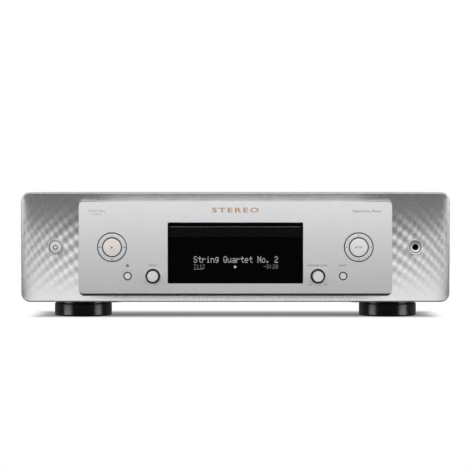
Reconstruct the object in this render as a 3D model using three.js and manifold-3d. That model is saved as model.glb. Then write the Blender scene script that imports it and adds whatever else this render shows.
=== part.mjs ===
// A hi-fi CD player: a 442 x 432 x 130 mm case on four round feet, with a floating centre plate,
// a motor-driven disc tray, a tilting laser mechanism, and the circuit boards and sockets behind it.
// Millimetres, +Z up, the front faces -Y, and the origin is on the floor under the middle of the case.
import * as THREE from "three";
import { mergeVertices } from "three/addons/utils/BufferGeometryUtils.js";
import Module from "manifold-3d";

const wasm = await Module();
wasm.setup();

// ---------------------------------------------------------------- driving dimensions

const CASE = { width: 442, depth: 432, height: 130, sheet: 1.2 };
const GAP = 0.3; // clearance between pieces that touch
const HALF_W = CASE.width / 2;
const KNOB_FACE = -CASE.depth / 2;
const SOCKET_END = CASE.depth / 2;

const FOOT = { r: 29.5, height: 16.2, x: 160, yFront: -152, yRear: 150, topR: 26 };
const PANEL = {
  bottom: 16.5,
  corner: 9.5,
  front: -199,
  back: -177,
  wall: 3,
  pocket: -192,
  edge: 1.4,
};
const PLATE = { halfW: 161.75, z0: 24.9, z1: 121.3, corner: 4.5, front: -204, back: -199.5, edge: 0.6 };
const WINDOW = { halfW: 69.8, z0: 36.2, z1: 98.5, corner: 1.2, front: -203.2, back: -200.2 };
const RING = { x: 127.2, z: 73.2, hole: 15.1, outer: 14.35, inner: 10.75, key: 10.3 };
const SMALL_KEY = { x: 111.2, z: 43.4, hole: 4.35, r: 3.45 };
const KNOB = { x: 85.1, z: 43.4, hole: 7.3, r: 6.6 };
const SIDE_HOLE = { x: 186, z: 73.2, r: 7.3 };
const KEY_FACE = PLATE.front - 1; // front of the keys
const KEY_BOARD = { front: -196.4, back: -194.8 };
const SWITCH_TOP = -197.2;
const SUBFRAME = { front: -187, back: -184 };

const CHASSIS = { bottom: 16.5, top: 18, halfW: 218.5, yFront: -176, yRear: 202.5, flange: 45 };
const REAR = { front: 202.8, back: 204, halfW: 218, z0: 18.5, z1: 127.9 };

// Disc mechanism. The disc's centre is over the turntable when the tray is shut.
const DISC = { y: -130, r: 60, recess: 60.8 };
const TRAY = { halfW: 64.5, y0: -199.3, y1: -19, bottom: 86.8, floor: 88.8, rim: 93.4, slot: 21 };
const DOOR = { halfW: 68.3, z0: 83.6, z1: 94.9, front: -202.7, back: -199.6 };
const LOADER = { inner: 66.5, outer: 72, y0: -191.5, y1: -8, floor0: 52, floor1: 54, top: 96.7 };
const HINGE = { y: -44, z: 77, pinR: 2 };
const TRAVERSE = { halfW: 42, y0: -152, y1: -38, z0: 75.6, z1: 78.1 };
const SLED = { y: -106, halfW: 22, halfL: 11, z0: 80.6, z1: 86.3, rodX: 19, rodZ: 82.6, rodR: 1.5 };
const BRIDGE = { z0: 97, z1: 98.6, hole: 12.2, halfL: 19 };
const CAM = { pinX: 5, pinZ: 76.8, pinR: 1.5, travel: 17, drop: 8.47, y0: -158, y1: -154.5 };

// Gears. A tooth count times a module is a pitch diameter.
const LOAD_MODULE = 1.5;
const SLED_MODULE = 0.8;
const TRAY_PINION = { teeth: 14, z0: 83.7, z1: 86.5 };
const TRAY_WHEEL = { teeth: 22, z0: 77, z1: 80 };
const PULLEY_PINION = { teeth: 10, z0: 76, z1: 81 };
const SLED_PINION = { teeth: 12, z0: 80.1, z1: 86 };
const SLED_WHEEL = { teeth: 20, z0: 78.5, z1: 80.1 };
const MOTOR_PINION = { teeth: 10, z0: 78.5, z1: 81 };
const BELT = { z0: 70.6, z1: 73.4, big: 10, small: 4, thickness: 1 };
const pitchR = (gear, module) => (gear.teeth * module) / 2;
const TRAY_GEAR_AT = [-44, -172];
const RACK_X = TRAY_GEAR_AT[0] - pitchR(TRAY_PINION, LOAD_MODULE);
const TRAY_TRAVEL = 140;
const PULLEY_AT = [
  TRAY_GEAR_AT[0] + pitchR(TRAY_WHEEL, LOAD_MODULE) + pitchR(PULLEY_PINION, LOAD_MODULE),
  TRAY_GEAR_AT[1],
];
const LOAD_MOTOR_AT = [20, TRAY_GEAR_AT[1]];
const SLED_RACK = { x: 27, back: 24, y0: -23, y1: 21, z0: 82.6, z1: 85.6 };
const SLED_GEAR_AT = [SLED_RACK.x + pitchR(SLED_PINION, SLED_MODULE), -90];
const SLED_MOTOR_AT = [
  SLED_GEAR_AT[0],
  SLED_GEAR_AT[1] - pitchR(SLED_WHEEL, SLED_MODULE) - pitchR(MOTOR_PINION, SLED_MODULE),
];

// ---------------------------------------------------------------- materials

const material = (color, roughness, metalness = 0) =>
  new THREE.MeshStandardMaterial({ color, roughness, metalness });
const SILVER = material(0xc9c8c9, 0.35, 1);
const SILVER_PLATE = material(0xcfcfd1, 0.45, 1);
const SILVER_KEY = material(0xd8d4d2, 0.4, 1);
const SILVER_PAINT = material(0xb9b8b8, 0.5, 0.3);
const STEEL = material(0xa9abad, 0.4, 1);
const BLACK_GLOSS = material(0x050505, 0.12);
const BLACK_PLASTIC = material(0x141414, 0.55);
const GREY_PLASTIC = material(0x55585a, 0.6);
const WHITE_PLASTIC = material(0xd9d8d0, 0.5);
const RUBBER = material(0x1b1b1b, 0.85);
const BOARD_GREEN = material(0x1f5a38, 0.6);
const LENS_GLASS = material(0x6e7fa8, 0.1);
const WINDING = material(0xa9782c, 0.6);

// ---------------------------------------------------------------- solid helpers

/** A closed three.js geometry as a manifold solid. */
function solid(geometry) {
  const bare = geometry.index ? geometry.toNonIndexed() : geometry.clone();
  bare.deleteAttribute("normal");
  bare.deleteAttribute("uv");
  const merged = mergeVertices(bare, 1e-4);
  const mesh = new wasm.Mesh({
    numProp: 3,
    vertProperties: merged.attributes.position.array,
    triVerts: new Uint32Array(merged.index.array),
  });
  return new wasm.Manifold(mesh);
}

/** A manifold solid as a three.js geometry with flat faces. */
function geometryOf(made) {
  const mesh = made.getMesh();
  const indexed = new THREE.BufferGeometry();
  indexed.setAttribute("position", new THREE.BufferAttribute(mesh.vertProperties, mesh.numProp));
  indexed.setIndex(new THREE.BufferAttribute(mesh.triVerts, 1));
  const geometry = indexed.toNonIndexed();
  geometry.computeVertexNormals();
  return geometry;
}

const join = (...solids) => solids.reduce((a, b) => a.add(b));
const cut = (body, ...tools) => tools.reduce((a, b) => a.subtract(b), body);

/** A box between two corners. */
function box(x0, x1, y0, y1, z0, z1) {
  const g = new THREE.BoxGeometry(x1 - x0, y1 - y0, z1 - z0);
  return solid(g.translate((x0 + x1) / 2, (y0 + y1) / 2, (z0 + z1) / 2));
}

/** A cylinder along Z. */
function post(x, y, z0, z1, r, sides = 12) {
  const g = new THREE.CylinderGeometry(r, r, z1 - z0, sides).rotateX(Math.PI / 2);
  return solid(g.translate(x, y, (z0 + z1) / 2));
}

/** A cylinder along Y. */
function barrel(x, z, y0, y1, r, sides = 12) {
  const g = new THREE.CylinderGeometry(r, r, y1 - y0, sides);
  return solid(g.translate(x, (y0 + y1) / 2, z));
}

/** A cylinder along X. */
function pin(y, z, x0, x1, r, sides = 8) {
  const g = new THREE.CylinderGeometry(r, r, x1 - x0, sides).rotateZ(Math.PI / 2);
  return solid(g.translate((x0 + x1) / 2, y, z));
}

/** A profile of [radius, height] pairs turned about Z; it starts and ends on the axis or closes on itself. */
function turned(profile, sides = 16) {
  const points = profile.map(([r, h]) => new THREE.Vector2(r, h));
  return solid(new THREE.LatheGeometry(points, sides).rotateX(Math.PI / 2));
}

/** The same, turned about the Y axis, with heights measured towards the front (-Y). */
function turnedToFront(profile, sides = 16) {
  const points = profile.map(([r, h]) => new THREE.Vector2(r, h));
  return solid(new THREE.LatheGeometry(points, sides).rotateX(Math.PI));
}

function roundedOutline(x0, x1, y0, y1, r) {
  const s = new THREE.Shape();
  s.absarc(x1 - r, y0 + r, r, -Math.PI / 2, 0);
  s.absarc(x1 - r, y1 - r, r, 0, Math.PI / 2);
  s.absarc(x0 + r, y1 - r, r, Math.PI / 2, Math.PI);
  s.absarc(x0 + r, y0 + r, r, Math.PI, 1.5 * Math.PI);
  return s;
}

/** A plan outline pulled up from z0 to z1. */
function slab(shape, z0, z1, curveSegments = 4) {
  const g = new THREE.ExtrudeGeometry(shape, { depth: z1 - z0, bevelEnabled: false, curveSegments });
  return solid(g.translate(0, 0, z0));
}

/** A front-view outline of x and z, filled from y0 to y1, with its edges bevelled by edge. */
function frontSlab(shape, y0, y1, edge = 0, curveSegments = 4) {
  const g = new THREE.ExtrudeGeometry(shape, {
    depth: y1 - y0 - 2 * edge,
    bevelEnabled: edge > 0,
    bevelThickness: edge,
    bevelSize: edge,
    bevelOffset: -edge,
    bevelSegments: 1,
    curveSegments,
  });
  return solid(g.rotateX(Math.PI / 2).translate(0, y1 - edge, 0));
}

/** The closed skin between two front-view outlines with as many points each, at y0 and y1. */
function frontLoft(outer, y0, inner, y1) {
  const near = outer.getPoints(4).slice(0, -1);
  const far = inner.getPoints(4).slice(0, -1);
  const count = near.length;
  const positions = [...near.map((p) => [p.x, y0, p.y]), ...far.map((p) => [p.x, y1, p.y])].flat();
  const caps = THREE.ShapeUtils.triangulateShape(near, []);
  const faces = [];
  for (const [a, b, c] of caps) {
    faces.push(a, b, c);
    faces.push(c + count, b + count, a + count);
  }
  for (let i = 0; i < count; i++) {
    const j = (i + 1) % count;
    faces.push(j, i, i + count, i + count, j + count, j);
  }
  const g = new THREE.BufferGeometry();
  g.setAttribute("position", new THREE.Float32BufferAttribute(positions, 3));
  g.setIndex(faces);
  return solid(g);
}

// ---------------------------------------------------------------- gear helpers

const PRESSURE = THREE.MathUtils.degToRad(20);
const BACKLASH = 0.22;
const ADDENDUM = 0.9; // tooth height over the pitch line, in modules
const DEDENDUM = 1.2;

/** A spur gear's outline with involute flanks and one tooth centred on the angle tooth0. */
function gearOutline(teeth, module, tooth0) {
  const pitch = (teeth * module) / 2;
  const base = pitch * Math.cos(PRESSURE);
  const involute = (a) => Math.tan(a) - a;
  const halfAngle = (r) => {
    const a = Math.acos(Math.min(1, base / Math.max(r, base)));
    return Math.PI / (2 * teeth) - BACKLASH / (4 * pitch) + involute(PRESSURE) - involute(a);
  };
  const radii = [pitch - DEDENDUM * module, pitch + ADDENDUM * module];
  const points = [];
  for (let i = 0; i < teeth; i++) {
    const middle = tooth0 + (i * 2 * Math.PI) / teeth;
    for (const r of radii) points.push([r, middle - halfAngle(r)]);
    for (const r of [...radii].reverse()) points.push([r, middle + halfAngle(r)]);
  }
  return new THREE.Shape(points.map(([r, a]) => new THREE.Vector2(r * Math.cos(a), r * Math.sin(a))));
}

/** A spur gear on the Z axis. */
const gear = (spec, module, tooth0) =>
  slab(gearOutline(spec.teeth, module, tooth0), spec.z0, spec.z1);

/** A rack along Y with teeth towards +X. Its pitch line is at x, and a gap is centred on gapY. */
function rackOutline(x, backX, y0, y1, gapY, module) {
  const pitch = Math.PI * module;
  const tan = Math.tan(PRESSURE);
  const half = pitch / 4 - BACKLASH / 4;
  const tip = half - ADDENDUM * module * tan;
  const root = half + DEDENDUM * module * tan;
  const points = [new THREE.Vector2(backX, y1), new THREE.Vector2(backX, y0)];
  const first = Math.ceil((y0 + root - gapY) / pitch - 0.5);
  const last = Math.floor((y1 - root - gapY) / pitch - 0.5);
  points.push(new THREE.Vector2(x - DEDENDUM * module, y0));
  for (let i = first; i <= last; i++) {
    const middle = gapY + (i + 0.5) * pitch;
    points.push(new THREE.Vector2(x - DEDENDUM * module, middle - root));
    points.push(new THREE.Vector2(x + ADDENDUM * module, middle - tip));
    points.push(new THREE.Vector2(x + ADDENDUM * module, middle + tip));
    points.push(new THREE.Vector2(x - DEDENDUM * module, middle + root));
  }
  points.push(new THREE.Vector2(x - DEDENDUM * module, y1));
  return new THREE.Shape(points);
}

// ---------------------------------------------------------------- scene graph helpers

const player = new THREE.Group();

function assembly(x = 0, y = 0, z = 0) {
  const group = new THREE.Group();
  group.position.set(x, y, z);
  player.add(group);
  return group;
}

function add(group, name, made, look, x = 0, y = 0, z = 0) {
  const mesh = new THREE.Mesh(geometryOf(made), look);
  mesh.name = name;
  mesh.position.set(x, y, z);
  group.add(mesh);
}

// ---------------------------------------------------------------- enclosure

const enclosure = assembly();

/** The sheet-steel floor pan, with upturned side, front and rear flanges and bottom vents. */
function bottomChassis() {
  const { bottom, top, halfW, yFront, yRear, flange } = CHASSIS;
  const t = CASE.sheet;
  const lip = 30;
  const sides = [-1, 1].map((s) => {
    const [x0, x1] = s < 0 ? [-halfW, -halfW + t] : [halfW - t, halfW];
    return box(x0, x1, yFront, yRear, bottom, flange);
  });
  const pan = join(
    box(-halfW, halfW, yFront, yRear, bottom, top),
    ...sides,
    box(-halfW, halfW, yFront, yFront + t, bottom, lip),
    box(-halfW, halfW, yRear - t, yRear, bottom, 24),
  );
  const vents = [];
  for (const x of [-150, 150]) {
    for (let i = 0; i < 6; i++) {
      vents.push(box(x - 24, x + 24, 40 + i * 9, 43 + i * 9, bottom - 1, top + 1));
    }
  }
  return cut(pan, ...vents);
}

/** The folded top cover: top, two sides, and two fields of vent slots over the boards. */
function topCover() {
  const t = CASE.sheet;
  const half = 220.5;
  const top = CASE.height - 0.6;
  const y0 = PANEL.back + GAP;
  const y1 = REAR.back;
  const inset = 2.2;
  const outer = new THREE.Shape([
    new THREE.Vector2(-half, 20),
    new THREE.Vector2(half, 20),
    new THREE.Vector2(half, top - inset),
    new THREE.Vector2(half - inset, top),
    new THREE.Vector2(-half + inset, top),
    new THREE.Vector2(-half, top - inset),
  ]);
  const hollow = new THREE.Shape([
    new THREE.Vector2(-half + t, 10),
    new THREE.Vector2(half - t, 10),
    new THREE.Vector2(half - t, top - inset),
    new THREE.Vector2(half - inset, top - t),
    new THREE.Vector2(-half + inset, top - t),
    new THREE.Vector2(-half + t, top - inset),
  ]);
  const shell = frontSlab(outer, y0, y1).subtract(frontSlab(hollow, y0 - 1, y1 + 1));
  const slots = [];
  for (const x of [-148, 148]) {
    for (let i = 0; i < 10; i++) {
      slots.push(box(x - 30, x + 30, 60 + i * 9, 63 + i * 9, top - 3, top + 1));
    }
  }
  return cut(shell, ...slots);
}

const SOCKETS = {
  mains: { x: -186, z: 44, halfW: 14.5, halfH: 10.5 },
  network: { x: -4, z: 46, halfW: 22, halfH: 9 },
  digital: { x: 62, z: 48, halfW: 15, halfH: 15 },
  analogue: { x: 160, z: 52, halfW: 22, halfH: 20 },
};

/** The flat steel rear panel with a cut-out for each socket block. */
function rearPanel() {
  const panel = box(-REAR.halfW, REAR.halfW, REAR.front, REAR.back, REAR.z0, REAR.z1);
  const holes = Object.values(SOCKETS).map(({ x, z, halfW, halfH }) =>
    box(x - halfW, x + halfW, REAR.front - 1, REAR.back + 1, z - halfH, z + halfH),
  );
  return cut(panel, ...holes);
}

/** The outer front: a rounded shell, dished towards the centre plate, open behind that plate. */
function frontPanel() {
  const outline = roundedOutline(-HALF_W, HALF_W, PANEL.bottom, CASE.height, PANEL.corner);
  const w = PANEL.wall;
  const pocket = roundedOutline(
    -HALF_W + w,
    HALF_W - w,
    PANEL.bottom + w,
    CASE.height - w,
    PANEL.corner - w,
  );
  const rim = 3.5;
  const dishFace = roundedOutline(
    -HALF_W + rim,
    HALF_W - rim,
    PANEL.bottom + rim,
    CASE.height - rim,
    PANEL.corner - rim,
  );
  const dishFloor = roundedOutline(-PLATE.halfW, PLATE.halfW, PLATE.z0 - 1, PLATE.z1 + 1, PLATE.corner);
  const depth = 4;
  return cut(
    frontSlab(outline, PANEL.front, PANEL.back, PANEL.edge),
    frontSlab(pocket, PANEL.pocket, PANEL.back + 5),
    frontLoft(dishFace, PANEL.front - 0.01, dishFloor, PANEL.front + depth),
    box(-156, 156, PANEL.front, PANEL.back, 31, 115),
    barrel(-SIDE_HOLE.x, SIDE_HOLE.z, PANEL.front - 1, PANEL.back, SIDE_HOLE.r, 20),
    barrel(SIDE_HOLE.x, SIDE_HOLE.z, PANEL.front - 1, PANEL.back, SIDE_HOLE.r, 20),
  );
}

/** The floating centre plate with its window and the holes for the keys and knobs. */
function centrePlate() {
  const outline = roundedOutline(-PLATE.halfW, PLATE.halfW, PLATE.z0, PLATE.z1, PLATE.corner);
  const window = roundedOutline(-WINDOW.halfW, WINDOW.halfW, WINDOW.z0, WINDOW.z1, WINDOW.corner);
  const y0 = PLATE.front - 1;
  const y1 = PLATE.back + 1;
  const holes = [-1, 1].flatMap((s) => [
    barrel(s * RING.x, RING.z, y0, y1, RING.hole, 20),
    barrel(s * SMALL_KEY.x, SMALL_KEY.z, y0, y1, SMALL_KEY.hole),
    barrel(s * KNOB.x, KNOB.z, y0, y1, KNOB.hole),
  ]);
  return cut(
    frontSlab(outline, PLATE.front, PLATE.back, PLATE.edge),
    frontSlab(window, y0, y1, 0, 3),
    ...holes,
  );
}

/** The black window, with the slot that the tray's door closes. */
function displayWindow() {
  const w = WINDOW;
  const outline = roundedOutline(-w.halfW + GAP, w.halfW - GAP, w.z0 + GAP, w.z1 - GAP, w.corner);
  const slot = DOOR.halfW + 0.4;
  return cut(
    frontSlab(outline, w.front, w.back, 0, 3),
    box(-slot, slot, w.front - 1, w.back + 1, DOOR.z0 - 0.4, DOOR.z1 + 0.4),
  );
}

/** The moulded frame behind the front panel, with posts that carry the centre plate. */
function frontSubframe() {
  const { front, back } = SUBFRAME;
  const open = (x0, x1, z0, z1) => box(x0, x1, front - 1, back + 1, z0, z1);
  const posts = [-1, 1].flatMap((s) =>
    [38, 108].map((z) => barrel(s * 151, z, PLATE.back + GAP, front + 1, 3, 16)),
  );
  const windows = [-1, 1].flatMap((s) => {
    const span = (a, b) => (s < 0 ? [-b, -a] : [a, b]);
    return [
      open(...span(KNOB.x - 9, KNOB.x + 9), KNOB.z - 9, KNOB.z + 9),
      open(...span(105, 140), 56, 100),
      open(...span(SIDE_HOLE.x - 11, SIDE_HOLE.x + 11), SIDE_HOLE.z - 11, SIDE_HOLE.z + 11),
    ];
  });
  return cut(
    join(box(-213, 213, front, back, 31, 123), ...posts),
    open(-73, 73, 50, 101),
    ...windows,
  );
}

add(enclosure, "bottom_chassis", bottomChassis(), STEEL);
add(enclosure, "top_cover", topCover(), SILVER_PAINT);
add(enclosure, "rear_panel", rearPanel(), SILVER_PAINT);
add(enclosure, "front_panel", frontPanel(), SILVER);
add(enclosure, "centre_plate", centrePlate(), SILVER_PLATE);
add(enclosure, "display_window", displayWindow(), BLACK_GLOSS);
add(enclosure, "front_subframe", frontSubframe(), GREY_PLASTIC);

/** A round foot with a rolled lower edge and a screw recess underneath. */
function foot() {
  const { r, height, topR } = FOOT;
  const recess = 7;
  return turned(
    [
      [0, 6],
      [recess, 6],
      [recess, 0],
      [r - 2, 0],
      [r, 2],
      [r, height - 2.2],
      [topR, height],
      [0, height],
    ],
    20,
  );
}

for (const [side, sx] of [
  ["left", -1],
  ["right", 1],
]) {
  add(enclosure, `foot_front_${side}`, foot(), BLACK_PLASTIC, sx * FOOT.x, FOOT.yFront);
  add(enclosure, `foot_rear_${side}`, foot(), BLACK_PLASTIC, sx * FOOT.x, FOOT.yRear);
}

// ---------------------------------------------------------------- front controls

const controls = assembly();

/** The round four-way key around each centre key. */
function fourWayRing() {
  const front = -KEY_FACE - 0.3;
  const back = 201.5;
  const e = 0.3;
  return turnedToFront(
    [
      [RING.inner, back],
      [RING.outer, back],
      [RING.outer, front - e],
      [RING.outer - e, front],
      [RING.inner + e, front],
      [RING.inner, front - e],
      [RING.inner, back],
    ],
    20,
  );
}

/** The moulded spider behind a four-way ring, with one nub over each of its four switches. */
function ringCarrier() {
  const front = 200.2;
  const back = 198.7;
  const disc = turnedToFront(
    [
      [5.5, back],
      [14, back],
      [14, front],
      [5.5, front],
      [5.5, back],
    ],
    12,
  );
  const nubs = [0, 1, 2, 3].map((i) => {
    const a = (i * Math.PI) / 2;
    return barrel(12 * Math.cos(a), 12 * Math.sin(a), -back - 0.5, -197.9, 1.2, 6);
  });
  return join(disc, ...nubs);
}

/** A round key of radius r with a bevelled face and a stem that reaches its switch. The waist is the
 * part of the profile between the stem and the face. */
function roundKey(r, waist) {
  const front = -KEY_FACE;
  const e = 0.35;
  return turnedToFront([
    [0, 198.2],
    [1.8, 198.2],
    [1.8, 198.6],
    ...waist,
    [r, front - e],
    [r - e, front],
    [0, front],
  ]);
}

const centreKey = () =>
  roundKey(RING.key, [
    [4.5, 198.6],
    [4.5, 201.5],
    [RING.key, 201.5],
  ]);

const smallKey = () =>
  roundKey(SMALL_KEY.r, [
    [5, 198.6],
    [5, 199.2],
    [SMALL_KEY.r, 199.2],
  ]);

/** A turned knob and the shaft that runs into the control behind it. */
function knob() {
  const front = -KNOB_FACE;
  const e = 0.6;
  return turnedToFront(
    [
      [0, 195.6],
      [3, 195.6],
      [3, 200.4],
      [KNOB.r, 200.4],
      [KNOB.r, front - e],
      [KNOB.r - e, front],
      [0, front],
    ],
    20,
  );
}

/** A rotary control's body, with a bush that the knob's shaft turns in. */
function rotaryControl() {
  const bush = barrel(0, 0, -197.6, -193.5, 4.2, 12);
  const bore = barrel(0, 0, -198.6, -195.2, 3.3, 12);
  return cut(join(box(-6.5, 6.5, -194.4, -187.6, -7, 7), bush), bore);
}

for (const [s, ring, carrier, centre] of [
  [-1, "transport_ring", "transport_ring_carrier", "play_button"],
  [1, "cursor_ring", "cursor_ring_carrier", "enter_button"],
]) {
  add(controls, ring, fourWayRing(), SILVER_KEY, s * RING.x, 0, RING.z);
  add(controls, carrier, ringCarrier(), GREY_PLASTIC, s * RING.x, 0, RING.z);
  add(controls, centre, centreKey(), SILVER_KEY, s * RING.x, 0, RING.z);
}
for (const [s, key, turn, control] of [
  [-1, "eject_button", "input_knob", "input_encoder"],
  [1, "back_button", "level_knob", "level_potentiometer"],
]) {
  add(controls, key, smallKey(), SILVER_KEY, s * SMALL_KEY.x, 0, SMALL_KEY.z);
  add(controls, turn, knob(), SILVER_KEY, s * KNOB.x, 0, KNOB.z);
  add(controls, control, rotaryControl(), GREY_PLASTIC, s * KNOB.x, 0, KNOB.z);
}

/** A key board: a plain board with a switch behind each key and a hole for the knob's bush. */
function keyBoard(s) {
  const { front, back } = KEY_BOARD;
  const span = (a, b) => (s < 0 ? [-b, -a] : [a, b]);
  const switches = [
    [RING.x, RING.z],
    [RING.x - 12, RING.z],
    [RING.x + 12, RING.z],
    [RING.x, RING.z - 12],
    [RING.x, RING.z + 12],
    [SMALL_KEY.x, SMALL_KEY.z],
  ].map(([x, z]) => box(s * x - 2, s * x + 2, SWITCH_TOP, front + 0.5, z - 2, z + 2));
  const board = box(...span(74.5, 146), front, back, 33.5, 96);
  return cut(join(board, ...switches), barrel(s * KNOB.x, KNOB.z, front - 1, back + 1, 4.8));
}
add(controls, "left_key_board", keyBoard(-1), BOARD_GREEN);
add(controls, "right_key_board", keyBoard(1), BOARD_GREEN);

/** The display: a glass panel in a shallow case behind the lower part of the window. */
function displayModule() {
  const z0 = 39;
  const z1 = 80;
  const back = -194.5;
  return cut(
    box(-63, 63, WINDOW.back + GAP, back, z0, z1),
    box(-59, 59, WINDOW.back, WINDOW.back + 0.9, z0 + 4, z1 - 4),
  );
}
add(controls, "display_module", displayModule(), BLACK_GLOSS);

/** The power key's bezel, its key and the switch that the key's stem pushes. */
function powerBezel() {
  return turnedToFront([
    [6.3, 190],
    [7, 190],
    [7, 198.6],
    [6.3, 198.6],
    [6.3, 190],
  ]);
}

function powerButton() {
  return turnedToFront([
    [0, 184.6],
    [2.2, 184.6],
    [2.2, 193],
    [5.9, 193],
    [5.9, 198],
    [5.6, 198.3],
    [0, 198.3],
  ]);
}

function powerSwitch() {
  return join(
    box(-10, 10, SUBFRAME.back + GAP + 1.4, -175, -10, 10),
    box(-2.2, 2.2, SUBFRAME.back + GAP, -180, -2.2, 2.2),
  );
}
add(controls, "power_bezel", powerBezel(), SILVER, -SIDE_HOLE.x, 0, SIDE_HOLE.z);
add(controls, "power_button", powerButton(), SILVER_KEY, -SIDE_HOLE.x, 0, SIDE_HOLE.z);
add(controls, "power_switch", powerSwitch(), BLACK_PLASTIC, -SIDE_HOLE.x, 0, SIDE_HOLE.z);

/** The headphone socket: a turned bezel with a groove, and the moulded socket behind it. */
function phonesBezel() {
  return turnedToFront([
    [3.5, 192],
    [7, 192],
    [7, 198.7],
    [6, 198.7],
    [5.8, 197.4],
    [5.3, 197.4],
    [5.2, 198.7],
    [3.5, 198.7],
    [3.5, 192],
  ]);
}

function phonesJack() {
  const body = box(-8, 8, -191.7, -164, -8, 8);
  return cut(body, barrel(0, 0, -193, -168, 3.25));
}
add(controls, "phones_bezel", phonesBezel(), SILVER, SIDE_HOLE.x, 0, SIDE_HOLE.z);
add(controls, "phones_jack", phonesJack(), BLACK_PLASTIC, SIDE_HOLE.x, 0, SIDE_HOLE.z);

// ---------------------------------------------------------------- disc tray and loader

const mechanism = assembly();

/** The tray: a recess for the disc, a slot for the turntable and laser that is open to the rear,
 * and a rack under its left side. */
function discTray() {
  const t = TRAY;
  const plate = roundedOutline(-t.halfW, t.halfW, t.y0, t.y1, 2);
  const slot = new THREE.Shape();
  slot.absarc(0, DISC.y, t.slot, -Math.PI, 0);
  slot.lineTo(t.slot, t.y1 + 1);
  slot.lineTo(-t.slot, t.y1 + 1);
  const rackSpan = 7;
  const rack = rackOutline(
    RACK_X,
    RACK_X - 4.5,
    TRAY_GEAR_AT[1] - rackSpan,
    TRAY_GEAR_AT[1] + TRAY_TRAVEL + rackSpan,
    TRAY_GEAR_AT[1],
    LOAD_MODULE,
  );
  return cut(
    join(slab(plate, t.bottom, t.rim), slab(rack, DOOR.z0 + GAP, t.bottom + 0.5)),
    post(0, DISC.y, t.floor, t.rim + 1, DISC.recess, 32),
    slab(slot, t.bottom - 1, t.rim + 1, 6),
  );
}

/** The tray's front door, which closes the slot in the window. */
function trayDoor() {
  const outline = roundedOutline(-DOOR.halfW, DOOR.halfW, DOOR.z0, DOOR.z1, 0.6);
  return frontSlab(outline, DOOR.front, DOOR.back, 0.25, 2);
}

/** The loader's moulded frame: a floor, side walls that guide the tray, hinge lugs and four legs. */
function loaderFrame() {
  const { inner, outer, y0, y1, floor0, floor1, top } = LOADER;
  const ledge = TRAY.bottom - GAP;
  const lip = TRAY.rim + GAP;
  const halves = [-1, 1].flatMap((s) => {
    const span = (a, b) => (s < 0 ? [-b, -a] : [a, b]);
    const lug = cut(
      box(...span(45, 51), HINGE.y - 6, HINGE.y + 6, floor1 - 0.5, HINGE.z + 4.5),
      pin(HINGE.y, HINGE.z, ...span(44, 52), HINGE.pinR + 0.4),
    );
    return [
      box(...span(inner, outer), y0, y1, floor0, top),
      box(...span(61, inner + 0.5), y0, y1, ledge - 2.5, ledge),
      box(...span(62.5, inner + 0.5), y0, y1, lip, lip + 1.5),
      box(...span(inner, outer), y0 + 20, y0 + 30, CHASSIS.top + GAP, floor0 + 0.5),
      box(...span(inner, outer), y1 - 14, y1 - 4, CHASSIS.top + GAP, floor0 + 0.5),
      lug,
    ];
  });
  return cut(
    join(box(-inner - 0.5, inner + 0.5, y0, y1, floor0, floor1), ...halves),
    box(-30, 30, -120, -60, floor0 - 1, floor1 + 1),
  );
}

/** The steel strip that carries the clamper over the turntable. */
function clampBridge() {
  const strip = roundedOutline(-LOADER.outer, LOADER.outer, -BRIDGE.halfL, BRIDGE.halfL, 3);
  return cut(slab(strip, BRIDGE.z0, BRIDGE.z1, 3), post(0, 0, 90, 105, BRIDGE.hole, 16));
}

/** The free-turning clamper that hangs in the bridge by its flange. */
function discClamper() {
  return turned([
    [0, 96.5],
    [8.3, 96.5],
    [8.3, 92],
    [11, 92],
    [11.5, 92.5],
    [11.5, BRIDGE.z1 + GAP],
    [15, BRIDGE.z1 + GAP],
    [15, BRIDGE.z1 + 1.8],
    [13.5, BRIDGE.z1 + 2.4],
    [0, BRIDGE.z1 + 2.4],
  ]);
}

add(mechanism, "disc_tray", discTray(), BLACK_PLASTIC);
add(mechanism, "tray_door", trayDoor(), BLACK_GLOSS);
add(mechanism, "loader_frame", loaderFrame(), BLACK_PLASTIC);
add(mechanism, "clamp_bridge", clampBridge(), STEEL, 0, DISC.y);
add(mechanism, "disc_clamper", discClamper(), WHITE_PLASTIC, 0, DISC.y);

/** The compound gear that drives the tray's rack. */
function trayGear() {
  return join(
    gear(TRAY_WHEEL, LOAD_MODULE, 0),
    post(0, 0, TRAY_WHEEL.z0, TRAY_PINION.z1, 7),
    gear(TRAY_PINION, LOAD_MODULE, Math.PI),
    post(0, 0, LOADER.floor1 + GAP, TRAY_WHEEL.z0 + 0.5, 2.2, 10),
  );
}

/** The belt pulley and its pinion, which turns the tray gear's wheel. */
function pulleyGear() {
  const tooth0 = Math.PI + Math.PI / PULLEY_PINION.teeth;
  return join(
    turned(
      [
        [0, BELT.z0 - 1.3],
        [BELT.big + 1.6, BELT.z0 - 1.3],
        [BELT.big + 1.6, BELT.z0 - 0.5],
        [BELT.big, BELT.z0 - GAP],
        [BELT.big, BELT.z1 + GAP],
        [BELT.big + 1.6, BELT.z1 + 0.5],
        [BELT.big + 1.6, BELT.z1 + 1.3],
        [0, BELT.z1 + 1.3],
      ],
      20,
    ),
    post(0, 0, LOADER.floor1 + GAP, PULLEY_PINION.z0 + 0.5, 2.2, 10),
    gear(PULLEY_PINION, LOAD_MODULE, tooth0),
  );
}

/** The small pulley on the loading motor's shaft. */
function motorPulley() {
  const r = BELT.small;
  return turned(
    [
      [0, BELT.z0 - 1],
      [r + 1.6, BELT.z0 - 1],
      [r, BELT.z0 - GAP],
      [r, BELT.z1 + GAP],
      [r + 1.6, BELT.z1 + 1],
      [0, BELT.z1 + 1],
    ],
    14,
  );
}

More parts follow.
